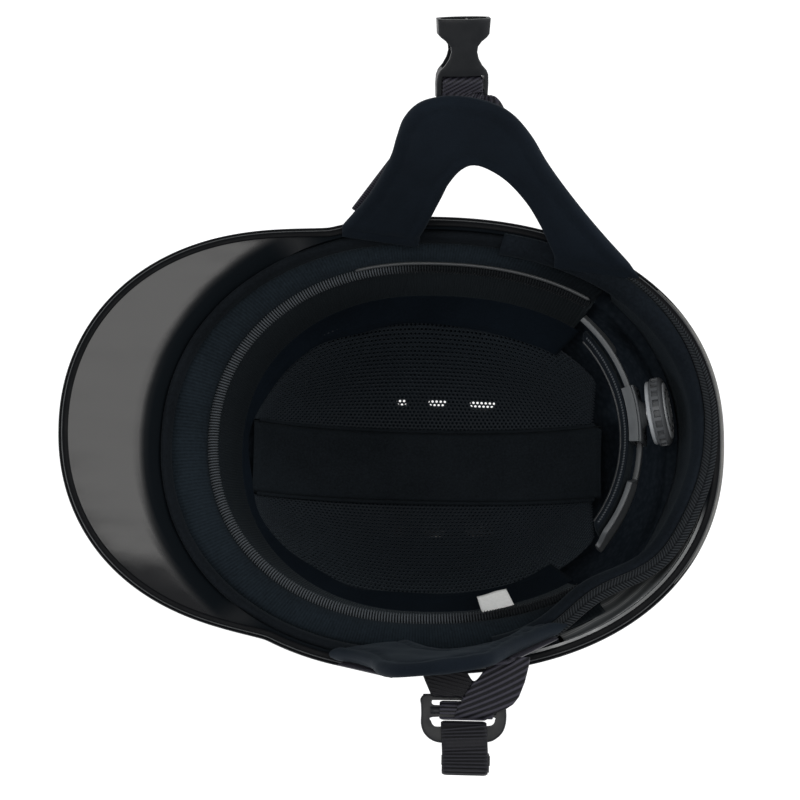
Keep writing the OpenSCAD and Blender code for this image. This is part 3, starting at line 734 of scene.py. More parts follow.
def boolean(o, other, op="DIFFERENCE"):
    md = o.modifiers.new("cut", "BOOLEAN")
    md.operation = op
    md.solver = "EXACT"
    md.object = other
    bpy.context.view_layer.update()
    dg = bpy.context.evaluated_depsgraph_get()
    new = bpy.data.meshes.new_from_object(o.evaluated_get(dg))
    old = o.data
    o.modifiers.clear()
    o.data = new
    bpy.data.meshes.remove(old)
    bpy.data.objects.remove(other)
    return o


def raw(name, verts, faces):
    """A helper mesh that isn't part of the object, for cutting."""
    me = bpy.data.meshes.new(name)
    me.from_pydata((np.asarray(verts, float) * 0.001).tolist(), [], [tuple(int(i) for i in f) for f in faces])
    bm = bmesh.new()
    bm.from_mesh(me)
    bmesh.ops.recalc_face_normals(bm, faces=bm.faces)
    bm.to_mesh(me)
    bm.free()
    o = bpy.data.objects.new(name, me)
    scene.collection.objects.link(o)
    return o


def prism(name, outline, z0, z1, R=np.eye(3), o=(0, 0, 0)):
    n = len(outline)
    V = [(x, y, z0) for x, y in outline] + [(x, y, z1) for x, y in outline]
    F = [tuple(range(n))[::-1], tuple(range(n, 2 * n))] + [(i, (i + 1) % n, n + (i + 1) % n, n + i) for i in range(n)]
    return raw(name, xf(V, R, o), F)


def stadium(cx, cy, l, w, k=8):
    r = w / 2
    a = np.linspace(-pi / 2, pi / 2, k)
    pts = [(cx + l / 2 - r + r * math.cos(x), cy + r * math.sin(x)) for x in a]
    pts += [(cx - l / 2 + r - r * math.cos(x), cy - r * math.sin(x)) for x in a]
    return pts


VENTS = [(v, l, s) for s in (-1, 1) for v, l in ((-10, 6), (9, 10), (33, 14))]


def cut_vents(o, z0, z1, grow):
    V, F = [], []
    for v, l, s in VENTS:
        out = stadium(0, 0, l - 0.3 + grow, 4.7 + grow)
        n, b = len(out), len(V)
        Q = [(x, y, z0 - 16) for x, y in out] + [(x, y, z1 - 16) for x, y in out]
        V += xf(Q, rotx(s * 14), (v, s * 36, 16)).tolist()
        F += [tuple(range(b + n - 1, b - 1, -1)), tuple(range(b + n, b + 2 * n))]
        F += [(b + i, b + (i + 1) % n, b + n + (i + 1) % n, b + n + i) for i in range(n)]
    return boolean(o, raw("cutter", V, F))


# ------------------------------------------------------------------ shell and peak
def make_shell():
    t = np.arange(0, 360, 360 / 216)[:, None]
    k = np.clip(pk(t) / 11, 0, 1)
    k = k * k * (3 - 2 * k)
    fz, gz = 0.3 + 6.5 * k, 0.4 + 4.5 * k
    g = np.linspace(0, 1, 44)[None, :]
    fm = np.degrees(np.arccos((fz / (zr(t) - Z0)) ** (1 / QQ)))
    rows = [pf(t, 9 + g * (fm - 9), 0.0)]
    s = np.array([0.04, 0.09, 0.15, 0.23, 0.33, 0.45, 0.6, 0.75, 0.88, 0.96])[None, :]
    P = fl(t, s, 0, 0.3)
    P[..., 2] -= (fz - 0.3) * np.exp(-(pk(t) * s) / 4.2) * k
    rows.append(P)
    nx, ny = outn(t)
    for a in (-80, -45, 0, 45, 80):
        c, h = math.cos(math.radians(a)), math.sin(math.radians(a))
        P = fl(t, 1.0, 0, 1.3 + 1.0 * h)
        P[..., 0] += nx * 0.7 * c
        P[..., 1] += ny * 0.7 * c
        rows.append(P)
    s = np.array([0.97, 0.92, 0.84, 0.74, 0.64, 0.54, 0.44, 0.35, 0.27, 0.2, 0.14, 0.09, 0.05, 0.02, 0.0])[None, :]
    s_in = s
    P = fl(t, s, 0, 2.3)
    dist = pk(t) * s
    P[..., 2] -= gz * np.exp(-dist / 1.7) * k
    q = (1 - s) ** 6
    P[..., 0] -= nx * ST * q
    P[..., 1] -= ny * ST * q
    rows.append(P)
    z1 = np.maximum(gz - 2.3, 0.35)
    f1 = np.degrees(np.arccos((z1 / (zr(t) - Z0 - ST)) ** (1 / QQ)))
    g = np.linspace(1, 0, 40)[None, :]
    rows.append(pf(t, 9 + g * (f1 - 9), ST))
    P = np.concatenate(rows, 1)
    o = tube("shell", P, M["gloss"], None, closed=True, slot="gloss_shell")
    # where the shell is dull, and where its bare wall at the right rear is painted with grey reflection streaks:
    # painted reflection
    L = rows[0].shape[1] + 10 + 5
    npt = P.shape[1]
    dull, painted_glare = np.zeros(P.shape[:2]), np.zeros(P.shape[:2])
    d_in = pk(t) * s_in
    dull[:, L:L + 15] = (1 - sstep(d_in, 4.5, 9.5)) * k
    dull[:, L:L + 15] = np.maximum(dull[:, L:L + 15], (1 - k) * np.ones((1, 15)))
    dull[:, L + 15:] = 1
    tt = ((t[:, 0] + 180) % 360) - 180
    zone = sstep(tt, -84, -78) * (1 - sstep(tt, -22, -12))
    zi = (zr(t) - P[:, :, 2])[:, L + 15:]
    painted_glare[:, L + 15:] = zone[:, None] * (1 - sstep(zi, 30, 36))
    painted_glare[:, L:L + 15] = zone[:, None] * 0.8
    dull[:, L:] *= 1 - zone[:, None]
    ref = P.reshape(-1, 3) * 0.001
    cut_vents(o, -2, 30, 0)
    kd = KDTree(len(ref))
    for i_, v_ in enumerate(ref):
        kd.insert(v_, i_)
    kd.balance()
    idx = [kd.find(v.co)[1] for v in o.data.vertices]
    for nm, arr in (("dull", dull), ("painted_glare", painted_glare)):
        at = o.data.attributes.new(nm, "FLOAT", "POINT")
        at.data.foreach_set("value", arr.ravel()[idx].astype(np.float32))
    o.data.shade_smooth()
    o.data.set_sharp_from_angle(angle=math.radians(38))
    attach(o, "helmet")
    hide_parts("outer_shell")
    return o


def make_rim():
    t = np.arange(0, 360, 1.0)
    nx, ny = outn(t)
    e = fl(t, 1.0, 0, 1.3)
    N = V3(nx, ny, 0 * nx)
    N = unit(N)
    Z = np.array([0, 0, 1.0])
    # rubber channel that grips the edge, with a groove before its outer lip
    sec = [(-2.1, 1.25), (-2.0, 1.75), (-1.3, 2.0), (-0.2, 2.0), (0.75, 1.9), (1.15, 1.45), (1.3, 1.0), (1.5, 1.0),
           (1.8, 1.35), (2.25, 1.35), (2.65, 0.95), (2.75, 0.2), (2.55, -0.7), (2.0, -1.4), (1.1, -1.8), (-0.4, -1.9),
           (-1.7, -1.8), (-2.1, -1.3), (-1.6, -1.15), (0.6, -1.15), (0.85, 0), (0.6, 1.15), (-1.6, 1.15)]
    sec = np.array(sec)
    P = e[:, None, :] + sec[None, :, 0, None] * N[:, None, :] + sec[None, :, 1, None] * Z
    o = tube("rim_bead", P, M["rubber"], "helmet", closed=True, slot="trim_black", rep=("rim_trim",), sharp=60)
    md = o.modifiers.new("soft", "SUBSURF")
    md.levels = md.render_levels = 1
    # its two glossy lips, and the paler strip seen along the back
    a = np.arange(10) * 2 * pi / 10
    for nm, cn, cz_, rn, rz_ in (("outer", 2.45, 0.6, 0.33, 0.6), ("inner", 0.95, 1.62, 0.3, 0.3)):
        L = e[:, None, :] + (cn + rn * np.cos(a))[None, :, None] * N[:, None, :] + (cz_ + rz_ * np.sin(a))[None, :, None] * Z
        tube("rim_lip_" + nm, L, M["lip"], "helmet", closed=True, slot="trim_black")
    q = np.arange(-34, 41) % 360
    w = np.clip(np.minimum(np.arange(-34, 41) + 34, 40 - np.arange(-34, 41)) / 12.0, 0.3, 1)[:, None, None]
    L = e[q][:, None, :] + (1.75 + 0.95 * w[..., 0] * np.cos(a)[None, :])[..., None] * N[q][:, None, :] + (1.15 + 0.8 * w[..., 0] * np.sin(a)[None, :])[..., None] * Z
    tube("rear_strip_edge", L, M["trim_grey"], "helmet", slot="trim_grey")
    return o


def make_rear_trim():
    t = np.linspace(-19, 41, 80)
    sec = [(-0.15, 2.6), (-0.9, 2.9), (-1.3, 3.6), (-1.35, 6.5), (-1.3, 9.4), (-0.9, 10.1), (-0.15, 10.4)]
    P = np.stack([pz(t, z, d) for d, z in sec], 1)
    return tube("rear_strip", P, M["trim_grey"], "helmet", slot="trim_grey", rep=("rear_trim",), sharp=50)


def make_liner():
    t = np.arange(0, 360, 3.0)[:, None]
    zl = zeps(t)
    zz = np.linspace(0, 1, 26)[None, :]
    fo = np.degrees(np.arccos(((zl + 1.2) / (zr(t) - Z0 - 3.7)) ** (1 / QQ)))
    outer = pf(t, 9 + zz * (fo - 9), 3.7)
    di = deps(t)
    ee = np.linspace(0, 1, 7)[None, :]
    e = np.concatenate([pz(t, zl + 0.4, 3.8), pz(t, zl, 4.3), pz(t, zl, 4.3 + (di - 5.6) * ee[:, 1:-1]), pz(t, zl, di - 0.8), pz(t, zl + 0.5, di - 0.2)], 1)
    fi = np.degrees(np.arccos(((zl + 1.6) / (zr(t) - Z0 - di)) ** (1 / QQ)))
    inner = pf(t, 9 + zz[:, ::-1] * (fi - 9), di)
    o = tube("foam_liner", np.concatenate([outer, e, inner], 1), M["foam"], None, closed=True)
    cut_vents(o, -2, 40, 0.4)
    o.data.shade_smooth()
    o.data.set_sharp_from_angle(angle=math.radians(40))
    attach(o, "helmet")
    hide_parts("eps_liner")
    return o


make_shell()
make_rim()
make_rear_trim()
make_liner()

# ------------------------------------------------------------------ headband pad, its binding and the crown lining
HB = [(7.0, 9.4), (7.9, 6.6), (10.4, 4.5), (14.4, 3.5), (19, 3.3), (23, 4.3), (26, 6.5), (27.4, 8.4), (28.2, 9.6), (28.6, 11.4), (29.3, 15), (29.6, 21),
      (29.3, 33), (28.0, 46), (26.2, 54.5), (24.2, 57), (21.8, 56.5), (21.2, 44), (21, 24), (20, 13.5), (13, 11.6), (9, 11.2)]


def make_headband():
    sec = spline(HB, 4, closed=True)
    t = np.linspace(50, 310, 190)
    k = (dd(t) - 6.6) / 22.5
    # soft puckers in the fleece
    puff = 0.28 * np.sin(t * 0.31) + 0.2 * np.sin(t * 0.83 + 1.0)
    d = 6.6 + (sec[None, :, 0] - 7) * k[:, None]
    near = np.where((sec[:, 0] < 15) & (sec[:, 1] < 11.3), (15 - sec[:, 0]) / 8, 0)
    d -= 3.2 * np.where(C(t) < 0, C(t) ** 4, 0)[:, None] * near[None, :]
    z = np.broadcast_to(sec[None, :, 1], d.shape).copy()
    top = np.exp(-((sec[:, 0] - 17) / 7) ** 2) * (sec[:, 1] < 12)
    z -= top[None, :] * puff[:, None]
    endk = np.clip(np.minimum(t - 50, 310 - t) / 2.2, 0.25, 1)
    endk = np.sqrt(1 - (1 - endk) ** 2)
    zc = np.where(sec[:, 1] > 14, z, 9 + (z - 9) * endk[:, None])
    P = pz(t[:, None], zc, d)
    o = tube("headband_fleece", P, M["fleece_cord"], "helmet", slot="fleece", rep=("headband_pad",))
    # the inner face and the valley beside the binding lie in shade
    js = np.arange(len(sec))
    sh = np.where(js < 30, 1.0, 0.32) * np.where(js > 76, 0.6, 1.0)
    sh = sh * (1 - 0.5 * np.exp(-((js - 27) / 2.5) ** 2))
    sh = np.broadcast_to(sh[None, :], P.shape[:2]).copy()
    # painted shade: darker towards both ends of the band
    sh *= (0.28 + 0.72 * np.clip(sstep(np.minimum(t - 50, 310 - t), 4, 34), 0, 1))[:, None]
    full = np.full(len(o.data.vertices), 0.4, np.float32)
    full[:sh.size] = sh.ravel()
    o.data.attributes.new("shade", "FLOAT", "POINT").data.foreach_set("value", full)
    # binding round its inner edge
    tt = np.linspace(50.5, 309.5, 500)
    path = pz(tt, 9.2, dd(tt) + 0.1)
    o = ribbed("headband_edge", path, M["binding"], "helmet", 2.3, 1.9, 1.35, 0.26, nsec=14, per=7, skew=0.5,
               slot="binding", rep=("headband_binding",))
    n = len(o.data.vertices)
    co, rv = np.zeros(n * 3, np.float32), np.zeros(n, np.float32)
    o.data.vertices.foreach_get("co", co)
    o.data.attributes["rib"].data.foreach_get("value", rv)
    co = co.reshape(-1, 3) * 1000
    rv *= 1 - 0.85 * sstep(co[:, 0], -30, 5) * (co[:, 1] > 0) - 0.85 * sstep(co[:, 0], 5, 42) * (co[:, 1] < 0)
    o.data.attributes["rib"].data.foreach_set("value", rv)
    # smooth piping that covers the binding towards the left rear
    tp = np.linspace(51, 106, 120)
    path = pz(tp, 6.6, dd(tp) - 1.2)
    cord_tube("headband_piping", path, 0.85, M["lip"], "helmet", slot="binding")
    # soft flap that closes the gap between the shell and the headband
    t = np.linspace(47, 297, 210)[:, None]
    zz = np.array([2.2, 1.0, 0.5, 0.7, 1.6, 3.4, 6.0, 9.0])[None, :]
    dz = np.array([2.8, 3.0, 3.7, 4.8, 5.8, 6.6, 7.1, 7.4])[None, :]
    P = pz(t, zz + 0.25 * np.sin(np.radians(t * 23)) * (dz > 3.2), dz)
    o = mesh("lining_flap", P.reshape(-1, 3), grid_faces(*P.shape[:2]), M["flap"], "helmet", slot="fleece", fix=False)
    md = o.modifiers.new("thick", "SOLIDIFY")
    md.thickness = 0.0005
    md.offset = -1


def edge_r(x, d, rad):
    a = np.where(x > 0, SR, SF) - d
    n = np.where(x > 0, NR, NF)
    return (SW - d) * np.maximum(rad ** n - np.abs(x / a) ** n, 0) ** (1 / n)


def make_skirt():
    """Plain lining from the headband down to the edge of the mesh."""
    t = np.linspace(48, 312, 170)[:, None]
    k = (dd(t) - 6.6) / 22.5
    g = np.linspace(0, 1, 12)[None, :]
    up = pz(t, 52 + 4 * g[:, :3], 6.6 + (19.8 - 1.0 * g[:, :3]) * k)
    f0 = np.degrees(np.arcsin(0.86 ** (1 / PP)))
    f1 = np.degrees(np.arcsin(0.84 ** (1 / PP)))
    lo = pf(t, f0 + (f1 - f0) * g + 0.8 * np.sin(np.radians(t * 9)) * g, 22.9 + 0.35 * np.sin(np.radians(t * 14)) * g)
    P = np.concatenate([up, lo], 1)
    n, m = P.shape[:2]
    o = mesh("lining_skirt", P.reshape(-1, 3), grid_faces(n, m), M["lining"], "helmet", slot="fleece", fix=False)
    md = o.modifiers.new("thick", "SOLIDIFY")
    md.thickness = 0.0006
    md.offset = 0
    return o


def make_crown_pad():
    nx_, ny_ = 90, 19
    x = np.linspace(-84.5, 92, nx_)[:, None]
    v = np.linspace(-1, 1, ny_)[None, :]
    y = 18.6 * v + 0 * x
    e = np.clip((1 - np.abs(v)) * 18.6 / 3.0, 0, 1)
    ee = np.clip(np.minimum(x + 84.5, 92 - x) / 3.0, 0, 1)
    r = np.sqrt(1 - (1 - e) ** 2) * np.sqrt(1 - (1 - ee) ** 2)
    wav = 0.25 * np.sin(x / 13.0) * np.cos(v * 2.2) + 0.15 * np.sin(x / 5.1 + v * 2)
    top = V3(x, y, hin(x + 0 * y, y, 22.2) + (hin(x + 0 * y, y, 24.6) - hin(x + 0 * y, y, 22.2) + wav) * r)
    bot = V3(x, y[:, ::-1], hin(x + 0 * y, y[:, ::-1], 22.2) + (hin(x + 0 * y, y[:, ::-1], 20.8) - hin(x + 0 * y, y[:, ::-1], 22.2)) * r[:, ::-1])
    o = tube("crown_panel", np.concatenate([top, bot[:, 1:-1]], 1), M["crown"], "helmet", slot="fleece", rep=("crown_pad",))
    for sgn, nm in ((1, "left"), (-1, "right")):
        xs = np.linspace(-82, 89, 160)
        ys = sgn * 18.9 + 0 * xs
        P = V3(xs, ys, hin(xs, ys, 23.4))
        ribbed("crown_seam_" + nm, P, M["crown"], "helmet", 0.9, 0.7, 1.5, 0.1, nsec=8, per=4, slot="fleece")
    return o


def make_mesh_panel(sgn, nm):
    """Honeycomb mesh: every cell is a ring of six quads round a real hole."""
    y0 = 19.2
    px, pyy = 2.15, 1.75
    x_lo, x_hi = -85.0, 87.0
    ncol = int((x_hi - x_lo) / px)
    ymax = float(edge_r(np.array(0.0), 22.2, 0.87))
    nrow = int((ymax - y0) / pyy)
    V, F, key = [], [], {}

    def place(u, b):
        # u along x in cells, b across in rows: rows bow with the panel's edge
        x = x_lo + u * px
        ye = float(edge_r(np.array(x), 22.2, 0.87))
        bb = b / nrow
        y = y0 + (ye - y0) * bb
        fold = 0.75 * math.sin(x / 7.5 + 2.2 * bb * (1 if sgn > 0 else -1)) * sstep(bb, 0.45, 1.0)
        fold += 0.45 * math.sin(x / 3.6 + 1.3) * sstep(bb, 0.75, 1.0)
        fold += 0.5 * math.sin(x / 19.0 + bb * 4)
        return x, y, fold

    def vert(u, b):
        k = (round(u * 12), round(b * 12))
        if k not in key:
            x, y, fo = place(u, b)
            key[k] = len(V)
            V.append((x, sgn * y, fo))
        return key[k]

    for j in range(nrow):
        for i in range(ncol):
            cu = i + (0.5 if j % 2 else 0) + 0.5
            cb = j + 0.5
            x, y, fo = place(cu, cb)
            if float(edge_r(np.array(x), 22.2, 0.87)) - y0 < 3 or y > float(edge_r(np.array(x), 22.2, 0.87)):
                continue
            ring = []
            for du, db in ((0, -0.667), (0.5, -0.333), (0.5, 0.333), (0, 0.667), (-0.5, 0.333), (-0.5, -0.333)):
                ring.append(vert(cu + du, cb + db))
            b0 = len(V)
            h = 0.60
            for du, db in ((0, -0.667), (0.5, -0.333), (0.5, 0.333), (0, 0.667), (-0.5, 0.333), (-0.5, -0.333)):
                xx, yy, ff = place(cu + du * h, cb + db * h)
                V.append((xx, sgn * yy, ff - 0.12))
            for q in range(6):
                r = (q + 1) % 6
                F.append((ring[q], ring[r], b0 + r, b0 + q))
    V = np.array(V)
    V[:, 2] = hin(V[:, 0], V[:, 1], 21.6) + V[:, 2]
    o = mesh("mesh_" + nm, V, F, M["mesh"], "helmet", slot="mesh", rep=("mesh_panel_" + nm,), fix=False)
    md = o.modifiers.new("thick", "SOLIDIFY")
    md.thickness = 0.00055
    md.offset = 0
    return o


make_headband()
make_skirt()
make_crown_pad()
make_mesh_panel(1, "left")
make_mesh_panel(-1, "right")


def make_tag():
    t = np.linspace(-76.3, -68.2, 14)
    g = np.linspace(0, 1, 10)
    T, G = np.meshgrid(t, g, indexing="ij")
    P = pz(T, 19.4 + 7.4 * G, dd(T) + 1.9 + 0.11 * (T + 76.3) + 7.2 * G + 0.35 * np.sin(T * 0.6) * G)
    n, m = P.shape[:2]
    o = mesh("size_label", P.reshape(-1, 3), grid_faces(n, m), M["tag"], "helmet", slot="tag_white", rep=("size_tag",), fix=False)
    md = o.modifiers.new("thick", "SOLIDIFY")
    md.thickness = 0.0003
    md.offset = 0
    return o


make_tag()

# ------------------------------------------------------------------ nape band and its knitted edge
def make_nape():
    t = np.concatenate([np.linspace(-76, -47.7, 46), np.linspace(-47.3, 47.3, 120), np.linspace(47.7, 76, 40)])
    e = nin(t)
    zl = np.where(np.abs(t) < 47.5, zeps(t) - 2.6, 3.1)
    rows = []
    half = 0.9 + 2.4 * sstep(-t, -52, 4)
    d0 = 2 * half - 0.1

    def up(z, d):
        P = pz(t, max(z, 0.0), d + e)
        P[..., 2] += max(-z, 0.0)
        return P
    for d, z in ((5.3, 1.6), (np.maximum(d0 - 0.4, 3.6), 0.9), (np.maximum(d0 - 0.1, 3.4), -1.2), (d0 + 0.1, -2.4), (d0 + 1.2, -2.9), (np.maximum(d0 + 2.4, 8.4), -2.4), (9.8, -1.2), (10.9, 0.5), (11.5, 2.4)):
        rows.append(up(z, d))
    for g in (0.15, 0.35, 0.6, 0.85):
        rows.append(pz(t, 2.7 + np.maximum(0, zl - 3 - 2.7) * g, 11.4 - 3.0 * g * (zl > 4) + e + 0.3 * np.sin(t * 0.5) * (zl > 4) * g))
    rows.append(pz(t, np.maximum(2.8, zl - 0.6), 7.9 + e))
    rows.append(pz(t, zl, 7.2 + e))
    rows.append(pz(t, zl, 5.6 + e))
    rows.append(pz(t, np.maximum(2.2, zl - 0.8), 5.2 + e))
    o = tube("nape_pad", np.stack(rows, 1), M["fleece"], "helmet", slot="fleece", rep=("nape_band",))
    # knitted edge: a flat strip with two columns of slanting ribs
    tt = np.linspace(-75.5, 63, 2400)
    e = nin(tt)
    wide = 0.9 + 2.4 * sstep(-tt, -52, 4)
    mid = wide - 0.2 + e
    P = pz(tt, 0, mid)
    P, s = resample(P, 0.24)
    ti = np.interp(np.linspace(0, 1, len(P)), np.linspace(0, 1, len(tt)), tt)
    wide = np.interp(ti, tt, wide)
    T = tangents(P)
    N = unit(np.cross(T, np.array([0, 0, 1.0])))
    v = np.linspace(-1, 1, 17)
    ph = 2 * pi * (s[:, None] / 1.5 - 0.9 * np.abs(v)[None, :] * wide[:, None] / 1.9)
    hgt = 1.15 * np.sqrt(np.clip(1 - v ** 2, 0, 1))[None, :] + 0.2 * np.sin(ph) * (1 - v ** 8)[None, :] - 0.28 * np.exp(-(v / 0.09) ** 2)[None, :]
    top = P[:, None, :] + (v[None, :] * wide[:, None])[..., None] * N[:, None, :]
    top[..., 2] += 2.45 + hgt * np.clip(wide / 2.4, 0.8, 1.25)[:, None]
    bot = P[:, None, :] + (v[None, ::-1] * wide[:, None])[..., None] * N[:, None, :]
    bot[..., 2] += 2.38
    o = tube("nape_edge", np.concatenate([top, bot[:, 1:-1]], 1), M["knit"], "helmet", slot="binding", rep=("nape_binding",))
    v_ = np.concatenate([0.32 + 0.3 * np.sin(ph) - 0.3 * np.exp(-(v / 0.1) ** 2)[None, :] + 0 * ph, np.full((len(P), 15), 0.1)], 1)
    rib_attr(o, v_)


make_nape()


def make_wall():
    """Glossy wall of the shell beside the band at the right rear, coloured grey with bright streaks: painted reflection
    on the black shell.
    """
    t = np.linspace(-62, -13, 130)[:, None]
    g = np.linspace(0, 1, 26)[None, :]
    b = sstep(t, -54, -46)
    d1 = 6.2 * (1 - b) + np.minimum(4.3 + nin(t), 12.5) * b
    z1 = 8.0 * (1 - b) + 23.0 * b
    P = pz(t, 0.9 + (z1 - 0.9) * g, 2.75 + (np.maximum(d1, 3.4) - 2.75) * g ** 1.25)
    o = mesh("shell_inner_wall_glare", P.reshape(-1, 3), grid_faces(*P.shape[:2]), M["wall"], "helmet", slot="gloss_shell", fix=False)
    md = o.modifiers.new("thick", "SOLIDIFY")
    md.thickness = 0.0004
    md.offset = 0


make_wall()

# ------------------------------------------------------------------ rear cradle and dial
CC, CR, CT, DT = (27.0, 5.0), 77.5, 14.0, 9.0
CZ = 120.0


def on_band(g, mm, f):
    """g angle in degrees, mm outwards from the band's middle, f up along it."""
    c, s = math.cos(math.radians(CT)), math.sin(math.radians(CT))
    r = CR + mm * c - f * s
    return V3(CC[0] + r * C(g), CC[1] + r * S(g), CZ + mm * s + f * c + 0 * g)


AT_D = rotz(DT) @ roty(90 - CT)
AT_O = np.array([CC[0] + CR * math.cos(math.radians(DT)), CC[1] + CR * math.sin(math.radians(DT)), CZ])


def band_piece(name, g0, g1, sec, mat, body, n=60, **kw):
    """sec(g) gives the closed outline (m, f) at each angle."""
    g = np.linspace(g0, g1, n)
    P = []
    for a in g:
        q = np.array(sec(a))
        P.append(on_band(a, q[:, 0], q[:, 1]))
    return tube(name, np.array(P), mat, body, **kw)


def rrect(m0, m1, f0, f1, r=0.5, k=3, ridge=0.0, rf=0.5):
    pts = []
    for cx, cy, a0 in ((m1 - r, f1 - r, 0), (m0 + r, f1 - r, 90), (m0 + r, f0 + r, 180), (m1 - r, f0 + r, 270)):
        for q in range(k + 1):
            a = math.radians(a0 + 90 * q / k)
            pts.append((cx + r * math.cos(a), cy + r * math.sin(a)))
        if a0 == 270:
            pts.append((m1 - 0.02, f0 + (f1 - f0) * 0.3))
            pts.append((m1 + ridge, f0 + (f1 - f0) * (rf - 0.04)))
            pts.append((m1 + ridge, f0 + (f1 - f0) * (rf + 0.04)))
            pts.append((m1 - 0.02, f0 + (f1 - f0) * 0.72))
    return pts


def make_cradle():
    # arms: low section inside the housing, full section with a ridge outside it
    def lsec(g):
        a = g - DT
        lo = 3.6 + (-8.2 - 3.6) * float(sstep(a, 22.2, 24.8)) + 8.6 * float(sstep(a, 30.0, 35.5))
        return rrect(-0.8, 1.8, lo, 8.4, 0.5, 3, 1.1 * float(sstep(a, 22.2, 25)), 0.45)

    band_piece("cradle_left", DT - 1, DT + 40, lsec, M["cradle"], "arm_left", 110, slot="cradle_plastic", rep=("cradle_arm_left",), sharp=45)

    def rsec(g):
        a = DT - g
        hi = -3.6 + (8.2 + 3.6) * float(sstep(a, 22.2, 24.8))
        return rrect(-0.8, 1.8, -8.4, hi - 7.0 * float(sstep(a, 44, 50)), 0.5, 3, 1.1 * float(sstep(a, 22.2, 25)), 0.5)

    band_piece("cradle_right", DT - 50, DT + 1, rsec, M["cradle"], "arm_right", 120, slot="cradle_plastic", rep=("cradle_arm_right",), sharp=45)
    # housing: back plate with lips, and the cover
    def tray(g):
        return [(-2.4, -11), (-2.4, 11), (-2.0, 11.2), (2.0, 11.2), (2.2, 11), (2.2, 9.5), (2.0, 9.2), (-1.2, 9.2), (-1.2, -9.2), (2.0, -9.2), (2.2, -9.5), (2.2, -11), (2.0, -11.2), (-2.0, -11.2)]
    band_piece("dial_housing", DT - 10, DT + 10, tray, M["cradle"], "helmet", 40, caps="flat", slot="cradle_plastic", rep=("cradle_housing",), sharp=35)
    band_piece("dial_cover", DT - 10, DT + 10, lambda g: rrect(2.25, 3.4, -11, 11, 0.5, 3), M["cradle"], "helmet", 40, slot="cradle_plastic", rep=("cradle_cover",), sharp=35)
    # conical boss round the shaft
    prof = [(3.35, 2.4), (7.6, 2.5), (7.2, 3.4), (6.2, 4.1), (5.6, 4.8), (5.2, 5.5), (4.9, 5.6), (3.35, 5.6)]
    a = np.arange(48) * 2 * pi / 48
    P = np.array([[(r * math.cos(x), r * math.sin(x), z) for r, z in prof] for x in a])
    o = tube("dial_boss", xf(P.reshape(-1, 3), AT_D, AT_O).reshape(P.shape), M["cradle"], "helmet", closed=True, slot="cradle_plastic", sharp=40)
    # cradle pad: soft, with piped edges
    g = np.linspace(DT - 46, DT + 36, 150)
    sec = spline([(-2.75, -8.2), (-2.75, 0), (-2.75, 8.6), (-3.6, 9.5), (-5.4, 9.2), (-6.7, 7.4), (-7.3, 3.5), (-7.35, -0.5), (-7.2, -4.5), (-6.5, -7.4), (-5.2, -8.8), (-3.6, -8.9)], 4, closed=True)
    endk = np.clip(np.minimum(g - g[0], g[-1] - g) / 3.0, 0.08, 1)
    endk = np.sqrt(1 - (1 - endk) ** 2)
    pk_ = 0.3 * np.sin(g * 0.9) + 0.18 * np.sin(g * 2.3)
    mm = -2.75 + (sec[None, :, 0] + 2.75) * endk[:, None] * (1 + 0.04 * pk_[:, None])
    ff = 0.3 + (sec[None, :, 1] - 0.3) * (0.72 + 0.28 * endk[:, None])
    P = on_band(g[:, None], mm, ff)
    o = tube("cradle_cushion", P, M["fleece"], "helmet", slot="fleece", rep=("cradle_pad",))
    gg = np.linspace(DT - 44, DT + 34, 200)
    for nm, f, mo in (("top", 8.9, -4.4), ("mid", 6.4, -7.0)):
        ribbed("cradle_piping_" + nm, on_band(gg, mo + 0 * gg, f + 0 * gg), M["binding"] if nm == "top" else M["piping"], "helmet", 0.75, 0.75, 1.3,
               0.1 if nm == "top" else 0.0, nsec=8, per=4, slot="binding")


make_cradle()


def lathe(name, rows, mat, body, n=None, angles=None, **kw):
    """rows: list of (r, z) or (r(angle), z)."""
    a = angles if angles is not None else np.arange(n) * 2 * pi / n
    P = np.zeros((len(a), len(rows), 3))
    for j, (r, z) in enumerate(rows):
        rr = r(a) if callable(r) else np.full(len(a), float(r))
        P[:, j] = np.stack([rr * np.cos(a), rr * np.sin(a), np.full(len(a), float(z))], 1)
    return tube(name, xf(P.reshape(-1, 3), AT_D, AT_O).reshape(P.shape), mat, body, closed=True, **kw)


